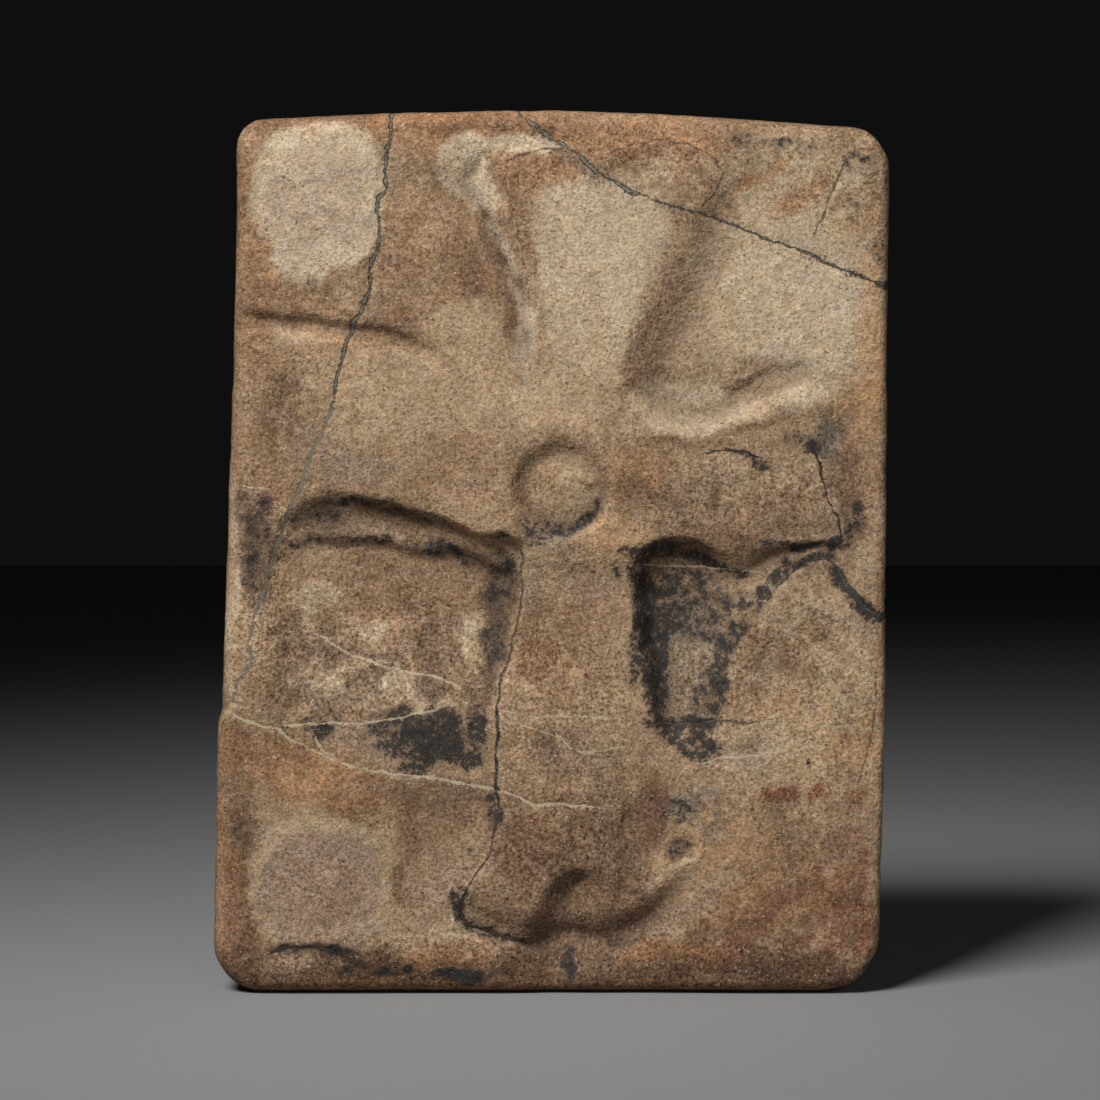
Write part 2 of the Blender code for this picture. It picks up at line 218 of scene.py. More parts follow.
@dataclass(frozen=True)
class Carving:
    """The cross and its hollows, as depths in millimetres below the slab's front.

    Sides are splines of across over height, and ends and edges are splines of
    height over across. A cut is how deep its hollow goes, and a swell how far
    the ground rises.
    """

    upper_left: Spline = Spline(((212, -12.5), (208, -15.8), (204, -17.6), (200, -16.6), (196, -14.4),
                                 (190, -11.6), (184, -9.2), (178.5, -6.8), (165, -4.6), (150, -2.4),
                                 (140, -4.0)))
    upper_right: Spline = Spline(((212, 40), (206, 41.5), (202, 38.5), (198, 35.0), (194, 33.2),
                                  (184.5, 30.2), (174.5, 24.2), (166, 19.6), (157, 16.6), (149.5, 16),
                                  (144, 18)))
    upper_end: Spline = Spline(((-20, 200), (-17.5, 204.5), (-14, 208), (-9, 210.4), (-5.4, 211.6),
                                (-1, 212.4), (3, 211.9), (7, 210.2), (11, 208.8), (15, 209.2), (20, 211.1),
                                (26, 213.1), (32, 213.1), (37, 211.6), (41.6, 208.5), (45, 204)))
    right_top: Spline = Spline(((17, 149.5), (25, 144), (29.3, 140.8), (36, 139.6), (42.6, 140.6),
                                (49.4, 143.2), (56, 146), (61.4, 148), (66.8, 147.6), (70.8, 144.6),
                                (74, 139)))
    right_bottom: Spline = Spline(((17, 109), (22, 112.8), (25.2, 114.4), (30.6, 115.4), (36, 115),
                                   (46, 112.8), (52.6, 112.7), (59.4, 113.7), (66, 113.7), (72.5, 113),
                                   (78, 111)))
    right_end: Spline = Spline(((150, 66.8), (140, 66.9), (130.7, 67.8), (125.5, 68.8), (120.7, 70.8),
                                (118, 72.6), (113, 72.8), (108, 72)))
    left_top: Spline = Spline(((-78, 170.5), (-65, 169), (-50, 167.2), (-41.4, 166.2), (-35, 164.5),
                               (-31.4, 162.5), (-25, 158), (-17.6, 152), (-10, 147), (-2, 145)))
    left_bottom: Spline = Spline(((-69, 117.5), (-66, 121), (-63, 123.4), (-57, 125.7), (-48, 125.3),
                                  (-41.4, 123.8), (-34, 121.7), (-23, 118.5), (-17.6, 115.8), (-11.4, 115.5),
                                  (-5, 114)))
    left_ledge: Spline = Spline(((-69, 112), (-62.6, 115), (-56.6, 116), (-42.6, 115.2), (-31, 112.5),
                                 (-18.6, 112.3), (-12, 108)))
    stem_left: Spline = Spline(((112, -6.9), (103, -6.9), (97, -7.6), (86, -10.3), (79, -12.6),
                                (72.5, -13.6), (57, -13.6), (52, -13.7), (47.5, -12.6), (42.7, -13.6),
                                (34.7, -15.4), (29, -19.4), (25.5, -21.6), (22, -22.9), (18, -23)))
    stem_right: Spline = Spline(((118, 25), (112, 21.7), (107.4, 19.9), (102, 19.6), (96, 20.1), (89, 21.1),
                                 (82.6, 22.6), (76, 23.9), (69, 25.2), (60, 27), (50, 28.5)))
    stem_crease: Spline = Spline(((54, 26), (50, 24.2), (45.2, 19.4), (37.5, 17.2), (31.3, 18.2), (23.5, 18)))
    lower_rim: Spline = Spline(((112, 73), (107, 66), (104.5, 61.5), (100, 58), (96, 53.4), (92.6, 49.8),
                                (88.6, 46.8), (82.6, 44.8), (75.9, 43.3), (69.8, 42.2), (62.5, 38), (56, 30)))
    upper_step: Spline = Spline(((40, 147), (43, 148.6), (47, 151.5), (53, 155), (60, 157.2), (72, 159)))
    left_lobe: Spline = Spline(((-24, 20), (-22, 18.2), (-20, 17.2), (-17, 16.3), (-11.4, 14.8), (-6.1, 13.6),
                                (-1, 13.6)))
    right_lobe: Spline = Spline(((1, 15), (6, 15.2), (12.6, 15.4), (18.4, 16.6), (23.6, 19.8), (28, 23.3),
                                 (33, 27.5), (38, 31)))
    notch: Spline = Spline(((9, -6), (13.5, -4.2), (16.5, -2.6), (21, -0.9), (24.2, 0.9), (26.8, 2.2),
                            (29, 4.2), (30.4, 6.2), (31.4, 9)))
    disc_centre: tuple[float, float] = (2.9, 126.8)
    disc_radius: float = 11.8
    upper_left_wall_cut: float = 2.8
    upper_left_floor_cut: float = 1.3
    left_arm_groove_cut: float = 1.9
    left_arm_bank_cut: float = 0.6
    upper_right_cut: float = 5.5
    upper_right_step_cut: float = 1.05
    upper_corner_cut: float = 0.5
    right_end_cut: float = 1.8
    lower_right_cuts: tuple[float, float, float] = (1.1, 1.7, 2.6)
    under_right_arm_cut: float = 2.1
    lower_left_ledge_cuts: tuple[float, float] = (3.5, 1.9)
    left_arm_swell: float = 0.4
    beside_foot_cut: float = 0.9
    left_lobe_cuts: tuple[float, float] = (2.6, 1.0)
    foot_notch_cut: float = 4.4
    right_lobe_cut: float = 4.1
    crease_cut: float = 1.1
    dip_cut: float = 0.8
    foot_gap_cut: float = 0.6
    disc_cut: float = 2.3
    disc_ground_swell: float = 1.2
    disc_rim_swell: float = 0.5

    def depth(self, x: np.ndarray, z: np.ndarray) -> np.ndarray:
        """Add up every cut below the face.

        Args:
            x: millimetres across from the middle.
            z: millimetres up from the foot.

        Returns:
            Depth below the uncarved face at each place.
        """
        cuts = (self.upper_left_hollow, self.upper_right_hollow, self.beyond_ends, self.lower_right_hollow,
                self.lower_left_hollow, self.foot, self.disc)
        return sum(cut(x, z) for cut in cuts)

    def upper_left_hollow(self, x: np.ndarray, z: np.ndarray) -> np.ndarray:
        """Cut the hollow left of the upper arm, steepest beside it, and the groove along the left arm.

        Args:
            x: millimetres across.
            z: millimetres up.

        Returns:
            Depth of this cut.
        """
        aside = self.upper_left.at(z) - x
        above = z - self.left_top.at(x)
        wall = ease(0, 1, lesser((aside + 0.6) / 3.6, above / 8, 1))
        height = ease(216, 198, z) * (0.25 + 0.75 * ease(142, 172, z))
        cut = self.upper_left_wall_cut * fade(aside - 2.5, 8.0)
        cut = cut + self.upper_left_floor_cut * fade(aside - 3, 30)
        edge = groove(above, 3.4, 1.5) * ease(-79, -72, x) * ease(-24, -38, x)
        bank = bell(above - 6, 7) * ease(-79, -66, x) * ease(-26, -40, x)
        return cut * height * wall + self.left_arm_groove_cut * edge + self.left_arm_bank_cut * bank

    def upper_right_hollow(self, x: np.ndarray, z: np.ndarray) -> np.ndarray:
        """Cut the deep, soft hollow between the upper and the right arm, with its step.

        Args:
            x: millimetres across.
            z: millimetres up.

        Returns:
            Depth of this cut.
        """
        aside = x - self.upper_right.at(z)
        above = z - self.right_top.at(x)
        wall = ease(0, 1, lesser(aside / (15 - 5 * ease(172, 188, z)), above / 6.5, 0.5))
        away = past(past(aside) + 0.5 * past(above) - 9)
        cut = self.upper_right_cut * np.exp(-(away / 34) ** 1.3) * ease(221, 188, z) * wall
        step = groove(z - self.upper_step.at(x), 5, 1.5) * ease(42, 48, x) * ease(72, 58, x)
        return cut + self.upper_right_step_cut * step

    def beyond_ends(self, x: np.ndarray, z: np.ndarray) -> np.ndarray:
        """Cut the ground beyond the ends of the upper and the right arm.

        Args:
            x: millimetres across.
            z: millimetres up.

        Returns:
            Depth of this cut.
        """
        above = ease(0, 2.6, z - self.upper_end.at(x)) * ease(224, 214, z)
        above = above * ease(-17, -7, x) * ease(50, 38, x) * (1.3 - 0.6 * ease(0, 20, x))
        corner = bell(np.hypot((x + 20) / 9, (z - 207) / 6), 1)
        beside = ease(-0.5, 4.5, x - self.right_end.at(z))
        beside = beside * ease(160, 140, z) * ease(98, 116, z) * ease(92, 75, x)
        return above + self.upper_corner_cut * corner + self.right_end_cut * beside

    def lower_right_hollow(self, x: np.ndarray, z: np.ndarray) -> np.ndarray:
        """Cut the deepest hollow, between the right arm and the stem.

        The arm's lower edge has a gap where the wall is much softer.

        Args:
            x: millimetres across.
            z: millimetres up.

        Returns:
            Depth of this cut.
        """
        inside = self.lower_rim.at(z) - x
        below = self.right_bottom.at(x) - z
        gap = bell(x - 46, 6)
        wall = ease(0, 1, lesser((x - self.stem_right.at(z)) / 6, below / (2.4 + 8 * gap), 1))
        rim, bank, bed = self.lower_right_cuts
        floor = rim * ease(-2.5, 2, inside) + bank * ease(0, 12, inside) + bed * ease(2, 22, inside)
        floor = floor * ease(50, 74, z) * (1.0 - 0.75 * ease(38, 62, x))
        under = ease(-0.6, 1.5, below) * ease(46, 58, x) * ease(80, 70, x) * ease(98, 111, z)
        rounding = np.where(below < 0, bell(below, 5), fade(below, 4)) * ease(22, 34, x) * ease(82, 70, x)
        rounding = rounding * (1.0 - 0.6 * gap)
        under = under * (1.0 - 0.35 * ease(46, 58, x))
        return floor * wall + self.under_right_arm_cut * under + rounding

    def lower_left_hollow(self, x: np.ndarray, z: np.ndarray) -> np.ndarray:
        """Cut the shallow hollow left of the stem, in two ledges under the left arm.

        Args:
            x: millimetres across.
            z: millimetres up.

        Returns:
            Depth of this cut.
        """
        aside = self.stem_left.at(z) - x
        ledge = self.left_ledge.at(x) - z
        under = self.left_bottom.at(x) - z
        softness = 2.6 + 2.8 * bell(x + 60, 8)
        first = ease(-0.35, 1, lesser(aside / 3.5 + 0.4, under / softness, 0.5))
        first = (first + 0.35 * ease(0, 9, under)) * ease(-73, -62, x) * (0.6 + 0.4 * ease(-68, -40, x))
        second = ease(0, 1, lesser(aside / 5, ledge / 3.2, 0.7)) * ease(-82, -42, x)
        height = (0.15 + 0.85 * ease(60, 102, z)) * ease(42, 66, z)
        swell = bell(under + 5, 4.5) * ease(-70, -56, x) * ease(-12, -24, x)
        beside = ease(0, 1.3, aside) * ease(88, 70, z) * ease(14, 24, z) * fade(aside, 10)
        first_cut, second_cut = self.lower_left_ledge_cuts
        ledges = (first_cut * first + second_cut * second) * height
        return ledges - self.left_arm_swell * swell + self.beside_foot_cut * beside

    def foot(self, x: np.ndarray, z: np.ndarray) -> np.ndarray:
        """Cut the ground away under both lobes of the foot, with the notch and gap between them.

        The stem's crease and the two dips beside it are cut here too.

        Args:
            x: millimetres across.
            z: millimetres up.

        Returns:
            Depth of this cut.
        """
        over_left = z - self.left_lobe.at(x)
        slope, lip = self.left_lobe_cuts
        left = (slope * ease(8.5, 0, over_left) + lip * ease(0.4, -0.9, over_left)) * fade(-over_left, 6)
        left = left * ease(-32, -16, x) * ease(6, -5, x)
        notch = ease(-4.6, 3.6, x - self.notch.at(z)) * ease(33, 28.5, z + 0.25 * np.abs(x - 8))
        notch = notch * ease(2, 16, z) * (0.2 + 0.8 * ease(14, 4, x)) * ease(24, 14, x)
        over_right = z - self.right_lobe.at(x)
        right = ease(5.6, -3.2, over_right) * fade(-over_right, 9) * ease(-5, 5, x) * ease(44, 24, x)
        crease = groove(x - self.stem_crease.at(z), 1.3, 3.5) * ease(20, 30, z) * ease(52, 40, z)
        dip = bell(np.hypot((x - 27) / 6, (z - 44) / 9), 1)
        dip = dip + 0.9 * bell(np.hypot((x - 33.5) / 3.4, (z - 38) / 2.4), 1)
        gap = bell(x + 1, 3.5) * ease(15, 6, z) * ease(0, 5, z)
        lobes = left + self.foot_notch_cut * notch + self.right_lobe_cut * right
        return lobes + self.crease_cut * crease + self.dip_cut * dip + self.foot_gap_cut * gap

    def disc(self, x: np.ndarray, z: np.ndarray) -> np.ndarray:
        """Sink the disc, soft above left and crisp below right, in ground that swells around it.

        The bowl is shallower beside its upper right rim, and a low ring rises around its
        upper side.

        Args:
            x: millimetres across.
            z: millimetres up.

        Returns:
            Depth of this cut, negative on the swell.
        """
        across = x - self.disc_centre[0]
        up = z - self.disc_centre[1]
        reach = np.hypot(across, up) / self.disc_radius
        from_centre = np.maximum(reach * self.disc_radius, 0.1)
        crisp = ease(-1, 1, (across - up) / from_centre)
        bowl = ease(1.12, 0.72 + 0.18 * crisp, reach) * (1.0 - 0.5 * ease(0.85, 0.1, reach))
        swell = bell(np.hypot((across - 3) / 24, (up - 5) / 22), 1)
        ring = bell(reach - 1.35, 0.30) * ease(-1.0, 0.6, (across * 0.4 + up) / from_centre)
        soft = 1.0 - 0.4 * bell(across - self.disc_radius, 8) * ease(-8, 4, up)
        return self.disc_cut * bowl * soft - self.disc_ground_swell * swell - self.disc_rim_swell * ring


class Mark(Enum):
    """The layers that hold lines on the stone. Lines in one layer stay apart from each other."""

    DARK = "dark_lines"
    DARK_BRANCH = "dark_branch_lines"
    PALE = "pale_lines"
    PALE_BRANCH = "pale_branch_lines"


@dataclass(frozen=True)
class Line:
    """One crack, vein or crisp carved edge.

    It runs through points of across and up. width is half its breadth, depth is
    that of its groove, black is how dark it is, and through says whether it goes
    through the slab to the back.
    """

    mark: Mark
    points: tuple[tuple[float, float], ...]
    width: float = 0.5
    depth: float = 0.0
    black: float = 0.0
    through: bool = False

    def measure(self, x: np.ndarray, z: np.ndarray) -> tuple[np.ndarray, np.ndarray, np.ndarray]:
        """Measure the way to the line.

        The nearest point on each straight piece is found by projection, the sign
        says on which side of that piece the place lies, and the taper falls away
        over the last millimetres before both ends.

        Args:
            x: millimetres across.
            z: millimetres up.

        Returns:
            Signed distance, plain distance and taper at each place.
        """
        knots = np.array(self.points, dtype=float)
        lengths = np.hypot(*np.diff(knots, axis=0).T)
        total = lengths.sum()
        nearest = np.full(x.shape, 1e3)
        signed = np.full(x.shape, 1e3)
        along = np.zeros(x.shape)
        start = 0.0
        for (ax, az), (bx, bz), length in zip(knots[:-1], knots[1:], lengths):
            ux, uz = (bx - ax) / length, (bz - az) / length
            share = np.clip((x - ax) * ux + (z - az) * uz, 0.0, length)
            distance = np.hypot(x - ax - share * ux, z - az - share * uz)
            side = np.where((x - ax) * uz - (z - az) * ux < 0, -1.0, 1.0)
            closer = distance < nearest
            nearest = np.where(closer, distance, nearest)
            signed = np.where(closer, side * distance, signed)
            along = np.where(closer, start + share, along)
            start += length
        taper = ease(0.0, 4.0, along + 1.0) * ease(total, total - 4.0, along - 1.0)
        return signed, nearest, taper


# Cracks and crisp carved edges, then pale veins, through points of across and up
LINES = (
    Line(Mark.DARK, ((-39.5, 223), (-40, 215), (-41, 211), (-41.5, 206), (-41, 202), (-43, 199), (-43, 196),
                     (-42.5, 191.5), (-43, 188), (-45, 182), (-45, 177.5), (-47, 172), (-49.5, 167.5),
                     (-51, 163), (-53.5, 154), (-54.5, 148)), 0.46, 0.30, 0.55, True),
    Line(Mark.DARK, ((-54.5, 150), (-54.5, 148), (-56.5, 142.5), (-60.5, 134.5), (-62.5, 128), (-65.5, 122),
                     (-67.5, 116), (-71.5, 103), (-74.5, 93.5), (-75.5, 88.5), (-75, 83), (-78.5, 79),
                     (-79.5, 74.5), (-83, 71.5)), 0.42, 0.22, 0.14, True),
    Line(Mark.DARK, ((-8, 223), (-7, 220.5), (-4, 218), (0, 215), (4.5, 212.5), (8.5, 209), (14, 205),
                     (19, 202), (26, 199.5)), 0.48, 0.22, 0.3, True),
    Line(Mark.DARK, ((23, 200.6), (26, 199.5), (30.5, 197.5), (36.5, 196.5), (42.5, 194.5), (49.5, 192),
                     (56, 189), (63, 187), (68, 184.5), (73.5, 182), (79, 180), (85, 177.5)),
         0.24, 0.18, 0.45, True),
    Line(Mark.DARK, ((56, 101), (58.5, 104), (61.5, 107), (65, 109), (70, 109.5), (73, 107)), 0.2, 0.35, 0.8),
    Line(Mark.DARK, ((71.5, 108), (73, 106), (75, 102), (78, 98.5), (81, 96), (85, 95)), 0.75, 0.35, 0.85),
    Line(Mark.DARK, ((-7, 114), (-7, 103), (-7.5, 97), (-10, 86), (-12.5, 79), (-13.5, 72.5)),
         0.17, 0.22, 0.5),
    Line(Mark.DARK, ((-12.5, 77), (-13.5, 72.5), (-13.25, 66), (-13.5, 57), (-13.5, 52), (-12.8, 47.5)),
         0.32, 0.30, 1.0),
    Line(Mark.DARK, ((-13, 48.5), (-13.5, 43), (-15.5, 35), (-19.5, 29), (-21.5, 25.5)), 0.18, 0.2, 0.8),
    Line(Mark.DARK_BRANCH, ((-20.5, 27), (-22.5, 24), (-23, 21), (-21, 17.5), (-17, 16.0), (-11.5, 14.4),
                            (-6.5, 13)), 0.35, 0.45, 0.5),
    Line(Mark.DARK_BRANCH, ((-71, 10), (-67.5, 11.8), (-62, 12.3), (-55.5, 11.3), (-51, 9.2), (-48, 6.5)),
         0.35, 0.7, 0.4),
    Line(Mark.DARK_BRANCH, ((76.5, 212.5), (74, 209.5), (72, 205), (70, 200), (67.5, 194), (65.5, 188.5)),
         0.26, 0.15, 0.06),
    Line(Mark.DARK_BRANCH, ((65.5, 138.5), (67, 135.5), (68, 131), (69.5, 125), (72, 120), (73, 116),
                            (72.5, 112.5)), 0.2, 0.3, 1.0),
    Line(Mark.DARK_BRANCH, ((-11.8, 207), (-9.5, 198), (-7.5, 189), (-5.5, 178), (-5.0, 170)),
         0.13, 0.1, 0.0),
    Line(Mark.DARK_BRANCH, ((38, 136), (44, 137), (49, 136.5), (54, 134.5)), 0.22, 0.05, 0.4),
    Line(Mark.DARK_BRANCH, ((82.2, 86), (81.6, 70), (80.2, 62), (78.6, 57), (77.2, 52)), 0.14, 0.15, 0.1),
    Line(Mark.DARK_BRANCH, ((12.5, 210.5), (20, 213), (27, 214.5), (35, 213.3), (41, 210), (43.5, 206),
                            (41, 201), (37, 197)), 0.2, 0.12, 0.0),
    Line(Mark.DARK_BRANCH, ((-12.5, 208.5), (-8, 210.5), (-2, 212.3), (4, 212)), 0.2, 0.12, 0.15),
    Line(Mark.PALE, ((-84, 72.5), (-76, 69), (-69, 67), (-63.5, 63.5), (-56, 60), (-52, 58), (-44, 56.5),
                     (-37, 55.5), (-27.5, 54.5), (-19, 52.5), (-13.5, 51.5), (-8.5, 50), (-4, 48),
                     (2.5, 48), (14, 47.5)), 0.32, 0.2, 0.06, True),
    Line(Mark.PALE, ((-59, 91), (-51.5, 86), (-37.5, 81.5), (-27.5, 79.5), (-22.5, 77)), 0.22),
    Line(Mark.PALE, ((-13.5, 71), (-11.5, 69), (-7.5, 68), (-1.5, 66), (2, 65), (5, 62), (9, 61),
                     (12.5, 61.5), (20, 63)), 0.22, 0.0, 0.05),
    Line(Mark.PALE, ((35, 57.5), (42, 59.5), (53, 60.5), (61.5, 62), (72.5, 63)), 0.2),
    Line(Mark.PALE, ((22.5, 108), (37.5, 107.5), (52.5, 106)), 0.16),
    Line(Mark.PALE, ((-77.5, 128), (-69, 127)), 0.26),
    Line(Mark.PALE_BRANCH, ((-68.5, 67.5), (-60, 68.5), (-47.5, 68.5), (-39, 69.5), (-30, 71.5),
                            (-27, 72.5)), 0.26),
    Line(Mark.PALE_BRANCH, ((-13, 71.5), (-2, 70), (10, 70), (18, 69.5)), 0.2),
    Line(Mark.PALE_BRANCH, ((24, 68.3), (34, 68.3), (42, 69), (52, 68.5)), 0.28, 0.1, 0.85),
    Line(Mark.PALE_BRANCH, ((50, 68.6), (65, 68), (74, 67.3), (86, 66.5)), 0.26, 0.08, 0.1, True),
    Line(Mark.PALE_BRANCH, ((-60, 66), (-57, 61.5), (-50, 57)), 0.26),
)


class Tone(Enum):
    """The stone's colours, as they look in soft light, from 0 to 255."""

    CREAM = (190, 170, 142)
    SAND = (172, 148, 118)
    TAN = (154, 127, 99)
    BROWN = (135, 106, 80)
    HONEY = (184, 147, 108)
    ORANGE = (158, 112, 75)
    RUST = (124, 80, 58)
    UMBER = (104, 83, 66)
    LILAC = (150, 125, 106)
    PEARL = (183, 164, 140)
    EARTH = (110, 82, 60)
    ASH = (124, 114, 99)
    OLIVE = (134, 114, 90)
    SLATE = (92, 86, 79)

    @property
    def seen(self) -> np.ndarray:
        """The colour as an array."""
        return np.array(self.value, dtype=float)


@dataclass(frozen=True)
class Patch:
    """A soft, ragged oval of colour, soot or grit on the carved face.

    x and z are its middle, wide and high its half sizes, turn its turn in
    degrees, edge the share of its size over which it fades, power how square it
    is, and broken how far a mottled field breaks it up. Only stains, and the
    shade and highlights painted among them, have a tone that is read.
    """

    x: float
    z: float
    wide: float
    high: float
    strength: float
    tone: Tone = Tone.SLATE
    turn: float = 0.0
    edge: float = 0.35
    power: float = 2.0
    broken: float = 0.0

    def cover(self, x: np.ndarray, z: np.ndarray, mottle: np.ndarray) -> np.ndarray:
        """Give the patch's cover: full inside its oval and eased away across the edge.

        The oval's reach is the power mean of the shares across and along.

        Args:
            x: millimetres across, already made ragged.
            z: millimetres up, already made ragged.
            mottle: mottled field from 0 to 1.

        Returns:
            Cover from 0 to the patch's strength.
        """
        angle = math.radians(self.turn)
        across = (x - self.x) * math.cos(angle) + (z - self.z) * math.sin(angle)
        along = (z - self.z) * math.cos(angle) - (x - self.x) * math.sin(angle)
        shares = np.abs(across / self.wide) ** self.power + np.abs(along / self.high) ** self.power
        reach = shares ** (1 / self.power)
        kept = 1.0 - self.broken * (1.0 - mottle)
        return self.strength * kept * ease(1.0 + self.edge, 1.0 - self.edge, reach)
